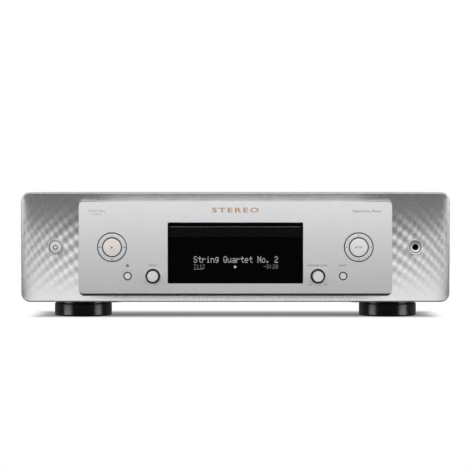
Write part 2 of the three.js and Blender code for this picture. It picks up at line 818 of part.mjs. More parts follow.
/** The square-section rubber belt round both pulleys, drawn about the big pulley's axis. */
function loadingBelt() {
  const reach = LOAD_MOTOR_AT[0] - PULLEY_AT[0];
  const around = (big, small) => {
    const lean = Math.acos((big - small) / reach);
    const s = new THREE.Shape();
    s.absarc(0, 0, big, lean, 2 * Math.PI - lean);
    s.absarc(reach, 0, small, -lean, lean);
    return s;
  };
  const inner = [BELT.big + GAP, BELT.small + GAP];
  return cut(
    slab(around(...inner.map((r) => r + BELT.thickness)), BELT.z0, BELT.z1, 6),
    slab(around(...inner), BELT.z0 - 1, BELT.z1 + 1, 6),
  );
}

/** The loading motor: a round can with a flat terminal plate. */
function loadingMotor() {
  return join(
    post(0, 0, LOADER.floor1 + GAP, 66.5, 10, 20),
    post(0, 0, 66, 68.5, 3, 12),
  );
}

/** The slider whose slanted slot lifts and lowers the front of the traverse. */
function camSlider() {
  const { pinX, pinZ, pinR, travel, drop, y0, y1 } = CAM;
  const reach = Math.hypot(travel, drop);
  const slope = Math.atan2(drop, travel);
  const half = pinR + 0.55;
  const slot = new THREE.Shape();
  slot.absarc(0, 0, half, -Math.PI / 2, Math.PI / 2);
  slot.absarc(-reach, 0, half, Math.PI / 2, 1.5 * Math.PI);
  const cutter = new THREE.ExtrudeGeometry(slot, { depth: 12, bevelEnabled: false, curveSegments: 4 });
  cutter.rotateZ(slope).rotateX(Math.PI / 2).translate(pinX, y1 + 4, pinZ);
  return cut(box(-21, 15, y0, y1, LOADER.floor1 + GAP, 82), solid(cutter));
}

add(mechanism, "tray_gear", trayGear(), WHITE_PLASTIC, ...TRAY_GEAR_AT);
add(mechanism, "pulley_gear", pulleyGear(), WHITE_PLASTIC, ...PULLEY_AT);
add(mechanism, "motor_pulley", motorPulley(), WHITE_PLASTIC, ...LOAD_MOTOR_AT);
add(mechanism, "loading_belt", loadingBelt(), RUBBER, ...PULLEY_AT);
add(mechanism, "loading_motor", loadingMotor(), STEEL, ...LOAD_MOTOR_AT);
add(mechanism, "cam_slider", camSlider(), GREY_PLASTIC);

// ---------------------------------------------------------------- traverse: turntable and laser

/** The tilting base plate with its hinge pins, cam pin and rod lugs. */
function traverseChassis() {
  const t = TRAVERSE;
  const rodLug = (x, y) => {
    const z = SLED.rodZ;
    const lug = box(x - 3.5, x + 3.5, y - 2, y + 2, t.z1 - 0.5, z + 3);
    return cut(lug, barrel(x, z, y - 3, y + 3, SLED.rodR + GAP, 12));
  };
  const hinge = [-1, 1].map((s) => {
    const span = (a, b) => (s < 0 ? [-b, -a] : [a, b]);
    return pin(HINGE.y, HINGE.z, ...span(t.halfW - 1, 49.5), HINGE.pinR);
  });
  const plate = cut(
    box(-t.halfW, t.halfW, t.y0, t.y1, t.z0, t.z1),
    box(-25, 28, -121, -52, t.z0 - 1, t.z1 + 1),
    post(0, DISC.y, t.z0 - 1, t.z1 + 1, 3, 12),
    post(...SLED_GEAR_AT, t.z0 - 1, t.z1 + 1, 1.6, 8),
    post(...SLED_MOTOR_AT, t.z0 - 1, t.z1 + 1, 1.6, 8),
  );
  return join(
    plate,
    ...hinge,
    ...[-1, 1].flatMap((s) => [rodLug(s * SLED.rodX, -126), rodLug(s * SLED.rodX, -47)]),
    barrel(CAM.pinX, CAM.pinZ, CAM.y0 - 0.6, t.y0 + 1, CAM.pinR, 12),
  );
}

/** The flat spindle motor under the plate. */
function spindleMotor() {
  const top = TRAVERSE.z0 - GAP;
  return turned([
    [0, 66],
    [11, 66],
    [12, 67],
    [12, top - 1],
    [11, top],
    [0, top],
  ]);
}

/** The turntable: shaft, hub, disc support and centring cone. */
function turntable() {
  return turned([
    [0, TRAVERSE.z0],
    [1.2, TRAVERSE.z0],
    [1.2, 82.5],
    [6, 82.5],
    [6, 88],
    [15, 88],
    [15, 90.6],
    [7.4, 90.6],
    [7.4, 91.6],
    [5.5, 93.2],
    [0, 93.2],
  ]);
}

/** The laser sled, bored for its rods, with the rack that moves it. */
function pickupSled() {
  const s = SLED;
  const rack = rackOutline(
    SLED_RACK.x,
    SLED_RACK.back - 0.6,
    SLED_RACK.y0,
    SLED_RACK.y1,
    SLED_GEAR_AT[1] - s.y,
    SLED_MODULE,
  );
  return cut(
    join(
      box(-s.halfW, s.halfW, -s.halfL, s.halfL, s.z0, s.z1),
      box(s.halfW - 1, SLED_RACK.back, -s.halfL, s.halfL, SLED_RACK.z0, SLED_RACK.z1),
      slab(rack, SLED_RACK.z0, SLED_RACK.z1),
    ),
    ...[-1, 1].map((k) => barrel(k * s.rodX, s.rodZ, -30, 30, s.rodR + GAP, 16)),
    box(-9, 9, -7, 7, s.z1 - 2.5, s.z1 + 1),
  );
}

/** The lens and the small holder that floats in the sled's well. */
function lensHolder() {
  const holder = box(-6.5, 6.5, -5, 5, SLED.z1 - 1.8, SLED.z1 + 0.5);
  const lens = turned(
    [
      [0, SLED.z1],
      [2.6, SLED.z1],
      [2.6, SLED.z1 + 0.9],
      [1.6, SLED.z1 + 1.5],
      [0, SLED.z1 + 1.7],
    ],
    16,
  );
  return join(holder, lens);
}

const guideRod = () => barrel(0, 0, -127.5, -45.5, SLED.rodR, 12);

/** The gear between the sled's rack and its motor. */
function sledGear() {
  return join(
    gear(SLED_WHEEL, SLED_MODULE, -Math.PI / 2),
    gear(SLED_PINION, SLED_MODULE, Math.PI),
    post(0, 0, TRAVERSE.z0, SLED_WHEEL.z0 + 0.5, 1.2, 8),
  );
}

function sledMotorPinion() {
  const tooth0 = Math.PI / 2 + Math.PI / MOTOR_PINION.teeth;
  return join(
    gear(MOTOR_PINION, SLED_MODULE, tooth0),
    post(0, 0, TRAVERSE.z0 + GAP, MOTOR_PINION.z0 + 0.5, 1.2, 8),
  );
}

const sledMotor = () => join(box(-6, 6, -7.5, 7.5, 64, 74), post(0, 0, 73.5, 75.3, 3, 16));

add(mechanism, "traverse_chassis", traverseChassis(), GREY_PLASTIC);
add(mechanism, "spindle_motor", spindleMotor(), STEEL, 0, DISC.y);
add(mechanism, "turntable", turntable(), GREY_PLASTIC, 0, DISC.y);
add(mechanism, "pickup_sled", pickupSled(), BLACK_PLASTIC, 0, SLED.y);
add(mechanism, "lens_holder", lensHolder(), LENS_GLASS, 0, SLED.y);
add(mechanism, "guide_rod_left", guideRod(), STEEL, -SLED.rodX, 0, SLED.rodZ);
add(mechanism, "guide_rod_right", guideRod(), STEEL, SLED.rodX, 0, SLED.rodZ);
add(mechanism, "sled_gear", sledGear(), WHITE_PLASTIC, ...SLED_GEAR_AT);
add(mechanism, "sled_motor_pinion", sledMotorPinion(), WHITE_PLASTIC, ...SLED_MOTOR_AT);
add(mechanism, "sled_motor", sledMotor(), STEEL, ...SLED_MOTOR_AT);

// ---------------------------------------------------------------- electronics

const electronics = assembly();
const BOARD = { z0: 26, z1: 27.6 };

/** A circuit board on standoffs, with blocks and cans given as [x, y, size..., height]. */
function board(x0, x1, y0, y1, blocks, cans) {
  const corners = [x0 + 6, x1 - 6].flatMap((x) => [y0 + 6, y1 - 6].map((y) => [x, y]));
  return join(
    box(x0, x1, y0, y1, BOARD.z0, BOARD.z1),
    ...corners.map(([x, y]) => post(x, y, CHASSIS.top + GAP, BOARD.z0 + 0.5, 3, 6)),
    ...blocks.map(([x, y, w, d, h]) =>
      box(x - w / 2, x + w / 2, y - d / 2, y + d / 2, BOARD.z1 - 0.5, BOARD.z1 + h),
    ),
    ...cans.map(([x, y, r, h]) => post(x, y, BOARD.z1 - 0.5, BOARD.z1 + h, r, 6)),
  );
}

const row = (count, make) => Array.from({ length: count }, (_, i) => make(i));

const powerBoard = () =>
  board(
    -210,
    -92,
    62,
    180,
    [
      [-105, 120, 6, 80, 34],
      [-190, 160, 22, 16, 18],
      [-190, 110, 24, 20, 16],
      [-150, 78, 30, 8, 10],
    ],
    [
      [-150, 120, 12.5, 34],
      [-150, 152, 12.5, 34],
      ...row(3, (i) => [-122, 92 + i * 22, 6, 20]),
    ],
  );

const mainBoard = () =>
  board(
    -66,
    84,
    20,
    184,
    [
      [-10, 90, 24, 24, 2.4],
      [36, 90, 16, 16, 2],
      [-40, 130, 14, 10, 1.8],
      [40, 150, 18, 12, 1.8],
      [-4, 30, 60, 6, 7],
    ],
    [...row(4, (i) => [-48 + i * 12, 60, 4, 9]), ...row(3, (i) => [66, 60 + i * 16, 4, 9])],
  );

const audioBoard = () =>
  board(
    96,
    210,
    -130,
    184,
    [
      [150, 120, 18, 14, 9],
      [178, 120, 18, 14, 9],
      [150, 30, 14, 14, 1.8],
      [150, -80, 40, 8, 7],
    ],
    [
      ...row(4, (i) => [120, -40 + i * 34, 9, 24]),
      ...row(4, (i) => [188, -40 + i * 34, 9, 24]),
      ...row(4, (i) => [138 + i * 12, 70, 4, 10]),
    ],
  );

/** The toroidal mains transformer: a wound ring under a clamping plate. */
function powerTransformer() {
  return turned(
    [
      [5, CHASSIS.top + GAP],
      [38, CHASSIS.top + GAP],
      [45, 28],
      [45, 54],
      [38, 63],
      [20, 63],
      [20, 66],
      [5, 66],
      [5, CHASSIS.top + GAP],
    ],
    20,
  );
}

add(electronics, "power_board", powerBoard(), BOARD_GREEN);
add(electronics, "main_board", mainBoard(), BOARD_GREEN);
add(electronics, "audio_board", audioBoard(), BOARD_GREEN);
add(electronics, "power_transformer", powerTransformer(), WINDING, -148, -50);

// ---------------------------------------------------------------- rear sockets

/** A socket block's body through its cut-out, with a flange against the outside of the rear panel. */
function socketBody({ halfW, halfH }, depth, flange = 1.5) {
  const w = halfW - GAP;
  const h = halfH - GAP;
  const rim = 2.5;
  const face = REAR.back + GAP;
  return join(
    box(-w, w, REAR.front - depth, face + 0.5, -h, h),
    box(-halfW - rim, halfW + rim, face, face + flange, -halfH - rim, halfH + rim),
  );
}

/** A two-pin mains inlet: a deep oval cavity with two pins. */
function mainsInlet() {
  const cavity = new THREE.Shape();
  cavity.absarc(4.6, 0, 4.4, -Math.PI / 2, Math.PI / 2);
  cavity.absarc(-4.6, 0, 4.4, Math.PI / 2, 1.5 * Math.PI);
  const bottom = REAR.back - 9;
  const pins = [-1, 1].map((s) => barrel(s * 4.3, 0, bottom - 1, REAR.back + 0.5, 1.2, 12));
  return join(cut(socketBody(SOCKETS.mains, 14), frontSlab(cavity, bottom, REAR.back + 9)), ...pins);
}

/** A network socket and a data socket side by side. */
function networkSockets() {
  const open = REAR.back + 9;
  return cut(
    socketBody(SOCKETS.network, 16),
    box(-16, -4, REAR.back - 13, open, -4.2, 4.2),
    box(4, 16.5, REAR.back - 12, open, -2.6, 2.6),
  ).add(box(5, 15.5, REAR.back - 13, REAR.back - 2, 0, 1.8));
}

/** One phono socket's barrel and its bore. */
const PHONO = { r: 4.15, bore: 1.7 };
const phonoBarrel = (x, z) => barrel(x, z, REAR.back, SOCKET_END, PHONO.r);
const phonoBore = (x, z) => barrel(x, z, REAR.back - 4, SOCKET_END + 1, PHONO.bore, 8);

/** The coaxial and optical digital outputs. */
function digitalSockets() {
  return cut(
    join(socketBody(SOCKETS.digital, 12), phonoBarrel(0, 7), box(-5, 5, 205, 208.5, -12, -2.5)),
    phonoBore(0, 7),
    box(-2.6, 2.6, REAR.back - 4, 212, -9.7, -4.6),
  );
}

/** Two pairs of phono outputs. */
function analogueSockets() {
  const places = [-10, 10].flatMap((x) => [-9, 9].map((z) => [x, z]));
  return cut(
    join(socketBody(SOCKETS.analogue, 12), ...places.map(([x, z]) => phonoBarrel(x, z))),
    ...places.map(([x, z]) => phonoBore(x, z)),
  );
}

for (const [name, at, made] of [
  ["mains_inlet", SOCKETS.mains, mainsInlet()],
  ["network_sockets", SOCKETS.network, networkSockets()],
  ["digital_sockets", SOCKETS.digital, digitalSockets()],
  ["analogue_sockets", SOCKETS.analogue, analogueSockets()],
]) {
  add(electronics, name, made, BLACK_PLASTIC, at.x, 0, at.z);
}

export default player;
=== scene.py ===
"""Looks for a full-width hi-fi CD player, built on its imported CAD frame.

Lengths are millimetres unless a comment says otherwise; mesh data goes to Blender in metres."""

import math
import random

import bmesh
import bpy
from mathutils import Matrix, Vector

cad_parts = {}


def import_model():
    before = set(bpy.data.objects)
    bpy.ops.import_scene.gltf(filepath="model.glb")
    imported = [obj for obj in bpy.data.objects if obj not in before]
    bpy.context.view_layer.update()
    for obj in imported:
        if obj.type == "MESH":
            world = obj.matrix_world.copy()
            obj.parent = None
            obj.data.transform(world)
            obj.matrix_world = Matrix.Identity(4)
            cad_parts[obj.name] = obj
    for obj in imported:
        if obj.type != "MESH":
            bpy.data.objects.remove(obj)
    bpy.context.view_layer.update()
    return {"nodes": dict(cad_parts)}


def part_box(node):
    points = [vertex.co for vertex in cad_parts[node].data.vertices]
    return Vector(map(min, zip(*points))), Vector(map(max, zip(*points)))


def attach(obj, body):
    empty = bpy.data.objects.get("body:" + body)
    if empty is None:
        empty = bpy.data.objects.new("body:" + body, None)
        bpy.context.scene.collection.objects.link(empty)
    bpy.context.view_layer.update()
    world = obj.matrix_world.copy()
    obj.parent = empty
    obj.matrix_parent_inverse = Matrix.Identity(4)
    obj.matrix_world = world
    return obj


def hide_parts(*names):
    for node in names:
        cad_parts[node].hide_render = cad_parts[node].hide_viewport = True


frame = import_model()
NODES = frame["nodes"]
MM = 0.001
SCENE = bpy.context.scene
COLOR_A, COLOR_B, COLOR_OUT = 6, 7, 2  # the sockets of a colour mix node


# ---- materials


def srgb(r, g, b):
    """A colour given as 0-255 sRGB, as Blender's linear RGBA."""

    def linear(c):
        c /= 255
        return c / 12.92 if c <= 0.04045 else ((c + 0.055) / 1.055) ** 2.4

    return (linear(r), linear(g), linear(b), 1.0)


class Nodes:
    """A short way to write a node tree."""

    def __init__(self, tree):
        self.tree = tree
        tree.nodes.clear()

    def add(self, kind, **values):
        node = self.tree.nodes.new(kind)
        for key, value in values.items():
            if hasattr(node, key):
                setattr(node, key, value)
            else:
                node.inputs[key.replace("_", " ")].default_value = value
        return node

    def link(self, a, out, b, socket):
        self.tree.links.new(a.outputs[out], b.inputs[socket])

    def blend(self, low, high):
        """A mix of two fixed colours."""
        mix = self.add("ShaderNodeMix", data_type="RGBA")
        mix.inputs[COLOR_A].default_value = low
        mix.inputs[COLOR_B].default_value = high
        return mix


def material(name):
    """A node material with only its output: the material, its tree and that node."""
    mat = bpy.data.materials.new(name)
    mat.use_nodes = True
    n = Nodes(mat.node_tree)
    return mat, n, n.add("ShaderNodeOutputMaterial")


def add_object(name, data):
    obj = bpy.data.objects.new(name, data)
    SCENE.collection.objects.link(obj)
    return obj


def point(obj, at, to):
    """Places a camera or lamp and turns it towards a place, in metres."""
    obj.location = at
    obj.rotation_mode = "QUATERNION"
    obj.rotation_quaternion = (Vector(to) - Vector(at)).to_track_quat("-Z", "Y")


def surface(
    name, color, rough, metal=0.0, tone=0.06, tone_scale=60.0, grain=2500.0, grain_rough=0.06, bump=0.05,
    stretch=(1.0, 1.0, 1.0), **sockets
):
    """A finish with slow tone changes, and a fine grain in its roughness and bump."""
    mat, n, out = material(name)
    bsdf = n.add("ShaderNodeBsdfPrincipled", Metallic=metal, **sockets)
    n.link(bsdf, "BSDF", out, "Surface")
    coord = n.add("ShaderNodeTexCoord")
    mapping = n.add("ShaderNodeMapping", Scale=stretch)
    n.link(coord, "Object", mapping, "Vector")

    slow = n.add("ShaderNodeTexNoise", Scale=tone_scale, Detail=3.0)
    n.link(mapping, "Vector", slow, "Vector")
    low = [c * (1 - tone) for c in color[:3]] + [1.0]
    high = [min(1.0, c * (1 + tone)) for c in color[:3]] + [1.0]
    mix = n.blend(low, high)
    n.link(slow, "Fac", mix, 0)
    n.link(mix, COLOR_OUT, bsdf, "Base Color")

    fine = n.add("ShaderNodeTexNoise", Scale=grain, Detail=2.0)
    n.link(mapping, "Vector", fine, "Vector")
    spread = n.add("ShaderNodeMapRange")
    spread.inputs["To Min"].default_value = max(0.02, rough - grain_rough)
    spread.inputs["To Max"].default_value = min(1.0, rough + grain_rough)
    n.link(fine, "Fac", spread, "Value")
    n.link(spread, "Result", bsdf, "Roughness")
    if bump:
        bumps = n.add("ShaderNodeBump", Strength=bump, Distance=0.0001)
        n.link(fine, "Fac", bumps, "Height")
        n.link(bumps, "Normal", bsdf, "Normal")
    return mat


def lit(name, color, strength):
    """A glowing display dot, a little uneven."""
    mat, n, out = material(name)
    bsdf = n.add("ShaderNodeBsdfPrincipled", Roughness=0.5, Base_Color=(0.02, 0.02, 0.02, 1))
    bsdf.inputs["Emission Strength"].default_value = strength
    coord = n.add("ShaderNodeTexCoord")
    noise = n.add("ShaderNodeTexNoise", Scale=900.0)
    n.link(coord, "Object", noise, "Vector")
    mix = n.blend([c * 0.85 for c in color[:3]] + [1.0], color)
    n.link(noise, "Fac", mix, 0)
    n.link(mix, COLOR_OUT, bsdf, "Emission Color")
    n.link(bsdf, "BSDF", out, "Surface")
    return mat


PANEL = surface("panel_aluminium", (0.735, 0.72, 0.722, 1), 0.27, 1.0, tone=0.02, bump=0.05)
PLATE = surface("plate_aluminium", (0.828, 0.828, 0.843, 1), 0.44, 1.0, tone=0.015, bump=0.06)
KEY = surface("key_aluminium", (0.975, 0.97, 0.97, 1), 0.5, 1.0, tone=0.02, bump=0.05)
KEY_WARM = surface("play_aluminium", (0.975, 0.925, 0.895, 1), 0.5, 1.0, tone=0.03, tone_scale=900.0)
RING = surface("ring_aluminium", (0.84, 0.835, 0.845, 1), 0.44, 1.0, tone=0.02, bump=0.05)
COVER = surface("cover_coat", (0.52, 0.515, 0.515, 1), 0.42, 0.55, tone=0.03, grain=1400.0, bump=0.25)
STEEL = surface("zinc_steel", (0.60, 0.61, 0.62, 1), 0.34, 1.0, tone=0.12, tone_scale=120.0)
TIN = surface("tinned_metal", (0.66, 0.66, 0.65, 1), 0.35, 1.0, tone=0.1)
SCREW = surface("screw_steel", (0.50, 0.50, 0.50, 1), 0.3, 1.0, tone=0.08)
GLOSS = {"tone": 0.1, "grain_rough": 0.02, "bump": 0.01}
GLASS = surface("window_black", (0.0010, 0.0010, 0.0011, 1), 0.10, Specular_IOR_Level=0.015, **GLOSS)
DOOR = surface("door_black", (0.0022, 0.0022, 0.0024, 1), 0.16, Specular_IOR_Level=0.085, **GLOSS)
BLACK = surface("moulded_black", (0.012, 0.012, 0.012, 1), 0.48, tone=0.15, grain=1800.0, bump=0.3)
RUBBED = {"tone": 0.1, "grain": 1500.0, "bump": 0.08}
FOOT = surface("foot_black", (0.003, 0.003, 0.0032, 1), 0.26, Specular_IOR_Level=0.16, **RUBBED)
GREY = surface("moulded_grey", (0.10, 0.105, 0.11, 1), 0.5, tone=0.08, grain=1800.0, bump=0.25)
MILKY = {"Subsurface_Weight": 0.1, "Subsurface_Scale": 0.001}
WHITE = surface("acetal_white", (0.72, 0.70, 0.62, 1), 0.42, tone=0.05, **MILKY)
RUBBER = surface("rubber_black", (0.02, 0.02, 0.02, 1), 0.75, tone=0.15, bump=0.35)
BOARD = surface("board_green", (0.010, 0.075, 0.032, 1), 0.35, tone=0.35, tone_scale=420.0)
CHIP = surface("chip_black", (0.014, 0.014, 0.015, 1), 0.4, tone=0.2)
CAN = surface("capacitor_sleeve", (0.02, 0.022, 0.035, 1), 0.3, tone=0.2)
WOUND = {"tone": 0.3, "tone_scale": 300.0, "stretch": (1, 1, 0.2), "bump": 0.5}
COPPER = surface("winding_copper", (0.45, 0.16, 0.05, 1), 0.3, 0.9, **WOUND)
LENS = surface("lens_glass", (0.25, 0.35, 0.75, 1), 0.05, tone=0.1, bump=0.0, Coat_Weight=1.0)
GOLD = surface("socket_gold", (0.95, 0.66, 0.28, 1), 0.2, 1.0, tone=0.05)
RED = surface("socket_red", (0.45, 0.02, 0.02, 1), 0.4, tone=0.08)
IVORY = surface("socket_white", (0.75, 0.75, 0.72, 1), 0.4, tone=0.05)
INK = surface("ink_grey", srgb(118, 118, 120), 0.6, tone=0.05, bump=0.0)
INK_DARK = surface("ink_dark", srgb(66, 66, 68), 0.6, tone=0.05, bump=0.0)
INK_GOLD = surface("ink_gold", (0.36, 0.23, 0.12, 1), 0.4, 0.3, tone=0.08, bump=0.0)
SHADE = surface("gap_shadow", (0.02, 0.02, 0.02, 1), 0.6, tone=0.2)
GLOW = lit("display_text", (0.80, 0.82, 0.84, 1), 0.62)
GLOW_DIM = lit("display_small", (0.80, 0.82, 0.84, 1), 0.24)


# ---- mesh helpers


def arc(cx, cy, r, start, sweep, steps):
    """Points along an arc with both its ends, from start and through sweep, in degrees."""
    angles = [math.radians(start + sweep * i / steps) for i in range(steps + 1)]
    return [(cx + r * math.cos(a), cy + r * math.sin(a)) for a in angles]


def circle(cx, cy, r, n=64):
    return arc(cx, cy, r, 0, 360, n)[:-1]


def rounded(x0, x1, y0, y1, r, n=8):
    """A rectangle's outline with corners of radius r."""
    corners = ((x1 - r, y0 + r, -90), (x1 - r, y1 - r, 0), (x0 + r, y1 - r, 90), (x0 + r, y0 + r, 180))
    return [p for cx, cy, start in corners for p in arc(cx, cy, r, start, 90, n)]


def add_lathe(bm, profile, at=(0, 0, 0), axis="front", n=72, closed=False):
    """A profile of (radius, height) pairs turned about Z ("up") or towards -Y ("front")."""
    rings = []
    for r, h in profile:
        steps = 1 if r < 1e-6 else n
        ring = []
        for i in range(steps):
            a = 2 * math.pi * i / n
            u, v = r * math.cos(a), r * math.sin(a)
            p = (u, -h, v) if axis == "front" else (u, v, h)
            ring.append(bm.verts.new([(c + o) * MM for c, o in zip(p, at)]))
        rings.append(ring)
    pairs = list(zip(rings, rings[1:]))
    if closed:
        pairs.append((rings[-1], rings[0]))
    for a, b in pairs:
        for i in range(n):
            j = (i + 1) % n
            quad = [a[i % len(a)], a[j % len(a)], b[j % len(b)], b[i % len(b)]]
            face = list(dict.fromkeys(quad))
            if len(face) > 2:
                bm.faces.new(face)


def add_box(bm, x0, x1, y0, y1, z0, z1, bevel=0.3, segments=2):
    size = Vector((x1 - x0, y1 - y0, z1 - z0)) * MM
    centre = Vector((x0 + x1, y0 + y1, z0 + z1)) * (MM / 2)
    place = Matrix.Translation(centre) @ Matrix.Diagonal((*size, 1))
    made = bmesh.ops.create_cube(bm, size=1.0, matrix=place)
    if bevel:
        shape = {"offset": bevel * MM, "segments": segments, "profile": 0.5, "clamp_overlap": True}
        edges = {e for v in made["verts"] for e in v.link_edges}
        bmesh.ops.bevel(bm, geom=list(edges), affect="EDGES", **shape)


def mesh_of(data):
    """The mesh of a curve or text data-block."""
    obj = add_object("tmp", data)
    mesh = bpy.data.meshes.new_from_object(obj.evaluated_get(bpy.context.evaluated_depsgraph_get()))
    bpy.data.objects.remove(obj)
    bpy.data.curves.remove(data)
    return mesh


TURN = {"top": Matrix.Identity(4), "front": Matrix.Rotation(math.pi / 2, 4, "X")}


def add_plate(bm, loops, lo, hi, plane="front", bevel=0.3, segments=1):
    """A flat plate from lo to hi along Y or Z: the first outline is its edge, the rest are holes."""
    curve = bpy.data.curves.new("plate", "CURVE")
    curve.dimensions = "2D"
    curve.fill_mode = "BOTH"
    curve.extrude = (hi - lo) / 2 - bevel
    curve.bevel_depth = bevel
    curve.bevel_resolution = segments
    curve.offset = -bevel
    for loop in loops:
        spline = curve.splines.new("POLY")
        spline.points.add(len(loop) - 1)
        for spot, (u, v) in zip(spline.points, loop):
            spot.co = (u, v, 0, 1)
        spline.use_cyclic_u = True
    mesh = mesh_of(curve)
    middle = (lo + hi) / 2
    shift = Matrix.Translation((0, middle, 0) if plane == "front" else (0, 0, middle))
    mesh.transform(Matrix.Scale(MM, 4) @ shift @ TURN[plane])
    bm.from_mesh(mesh)
    bpy.data.meshes.remove(mesh)
    bmesh.ops.remove_doubles(bm, verts=bm.verts, dist=1e-7)


def add_text(bm, words, x, z, y, width=None, height=None, spacing=1.0, back=False, depth=0.06, bold=0.0):
    """Words centred on (x, z) with their face at y; back turns them to be read from behind."""
    font = bpy.data.curves.new("words", "FONT")
    font.body = words
    font.space_character = spacing
    font.resolution_u = 3
    font.extrude = 0.02
    font.offset = bold
    mesh = mesh_of(font)
    if not mesh.vertices:
        return
    lo = [min(v.co[k] for v in mesh.vertices) for k in range(2)]
    hi = [max(v.co[k] for v in mesh.vertices) for k in range(2)]
    sx = width / (hi[0] - lo[0]) if width else None
    sy = height / (hi[1] - lo[1]) if height else None
    sx, sy = sx or sy, sy or sx
    centre = Matrix.Translation((-(lo[0] + hi[0]) / 2, -(lo[1] + hi[1]) / 2, 0))
    turn = Matrix.Rotation(math.pi, 4, "Z") if back else Matrix.Identity(4)
    sized = Matrix.Diagonal((sx, sy, depth / 0.04, 1))
    place = Matrix.Translation((x, y + (-depth / 2 if back else depth / 2), z))
    mesh.transform(Matrix.Scale(MM, 4) @ place @ turn @ TURN["front"] @ sized @ centre)
    bm.from_mesh(mesh)
    bpy.data.meshes.remove(mesh)


def weigh(obj):
    """Keeps large flat faces flat next to their rounded edges."""
    mod = obj.modifiers.new("weigh", "WEIGHTED_NORMAL")
    mod.mode = "FACE_AREA_WITH_ANGLE"
    mod.weight = 90
    mod.keep_sharp = True


def piece(name, bm, mat, body, slot, replaces=(), smooth=32):
    """Makes an object of what was built, rides it on its body and hides the CAD parts it replaces."""
    bmesh.ops.remove_doubles(bm, verts=bm.verts, dist=2e-7)
    bmesh.ops.recalc_face_normals(bm, faces=bm.faces)
    mesh = bpy.data.meshes.new(name)
    bm.to_mesh(mesh)
    bm.free()
    mesh.shade_smooth()
    mesh.set_sharp_from_angle(angle=math.radians(smooth))
    mesh.materials.append(mat)
    obj = add_object(name, mesh)
    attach(obj, body)
    weigh(obj)
    if replaces:
        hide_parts(*replaces)
    return obj


def new():
    return bmesh.new()


def cad(node):
    """A CAD node's box in millimetres."""
    lo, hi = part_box(node)
    return [c / MM for c in lo], [c / MM for c in hi]


def turned(name, profile, at, mat, body, slot, replaces=(), **sizes):
    """A piece that is one turned shape."""
    bm = new()
    add_lathe(bm, profile, at, **sizes)
    piece(name, bm, mat, body, slot, replaces)


# ---- camera


def camera():
    """A long lens, level with the middle of the front."""
    data = bpy.data.cameras.new("camera")
    data.sensor_width = 36.0
    data.lens = 185.4
    data.clip_start, data.clip_end = 0.1, 100.0
    SCENE.camera = add_object("camera", data)
    point(SCENE.camera, (-0.0004, -2.699, 0.136), (-0.0004, -0.199, 0.0858))


camera()

# ---- front panel

P_LO, P_HI = cad("front_panel")
HALF = P_HI[0] + 0.6
MID_Z = (P_LO[2] + P_HI[2]) / 2
HALF_H = (P_HI[2] - P_LO[2]) / 2
FRONT = P_LO[1] + 1.0  # the rim's foremost line
EDGE_R = 1.2
DISH = 4.0  # how deep the panel is beside the centre plate
DEEPEST = 0.2  # where it is deepest, from -1 at its bottom edge to 1 at its top edge
STRIP = 0.685  # how deep it is above and below the plate
WAVE = 0.09  # half the height of the waves
ROW, ROW_GROWTH = 12.1, 0.023  # how far apart the ridges are at the panel's end, and their growth inwards
# The two sets of ridges: their turns, over what length, where they begin in turns, and their strength.
RIDGES = ((7.22, 57.3, 0.26, 0.62), (-12.43, 59.6, 0.62, 0.46))
SIDE_X, SIDE_Z = 186, 73.2  # the power key on the left and the headphone socket on the right


def ease(t):
    """Goes smoothly from 0 to 1 as t does."""
    t = min(1.0, max(0.0, t))
    return t * t * (3 - 2 * t)


def wave(x, z):
    """The moulded waves: two crossing sets of ridges that open out towards the centre plate."""
    d = max(HALF - abs(x), 0)
    rows = (P_HI[2] - z) / (ROW + ROW_GROWTH * d)
    height = 0.0
    for turns, length, begin, strength in RIDGES:
        height += strength * math.cos(2 * math.pi * (turns * math.log(1 + d / length) + rows + begin))
    return height


def panel_depth(x, z):
    """How far the panel's face lies behind its rim: a dish, deepest above the middle, and its waves."""
    up = (z - MID_Z) / (HALF_H - EDGE_R)
    zeta = min(1.0, abs(up))
    across = 1 - min(1.0, abs(x) / (HALF - 2)) ** 60
    part = (up - DEEPEST) / (1 - DEEPEST) if up > DEEPEST else (DEEPEST - up) / (1 + DEEPEST)
    side = DISH * (1 - min(1.0, part) ** 2)
    strip = (STRIP - 0.065 * up) * (1 - zeta**9.5)
    dish = across * (strip + ease((abs(x) - 118) / 45) * (side - strip))
    edge = HALF - abs(x)
    fade = (0.68 + 0.34 * ease((edge - 6) / 46)) * ease((edge - 1) / 6)
    fade *= ease((1.05 - zeta) / 0.75) * (1 + 0.6 * up)
    return dish + WAVE * fade * (1 - wave(x, z))


def panel_ring(d, straight, corner):
    """The panel's outline moved in by d, with the same number of points for every d."""
    r = max(9.5 - d, 4.0)
    x, z0, z1 = HALF - d, P_LO[2] + d, P_HI[2] - d
    return side_points(-x, x, z0, z1, r, straight, corner)


def side_points(x0, x1, z0, z1, r, straight, corner):
    """A rounded outline with points all along its sides, so that rings of it join up."""
    pts = []
    long, short = straight
    sides = (
        ((x0 + r, z0), (x1 - r, z0), long, (x1 - r, z0 + r), -90),
        ((x1, z0 + r), (x1, z1 - r), short, (x1 - r, z1 - r), 0),
        ((x1 - r, z1), (x0 + r, z1), long, (x0 + r, z1 - r), 90),
        ((x0, z1 - r), (x0, z0 + r), short, (x0 + r, z0 + r), 180),
    )
    for a, b, count, centre, start in sides:
        for i in range(count):
            t = i / count
            pts.append((a[0] + (b[0] - a[0]) * t, a[1] + (b[1] - a[1]) * t))
        pts += arc(*centre, r, start, 90, corner)[:-1]
    return pts


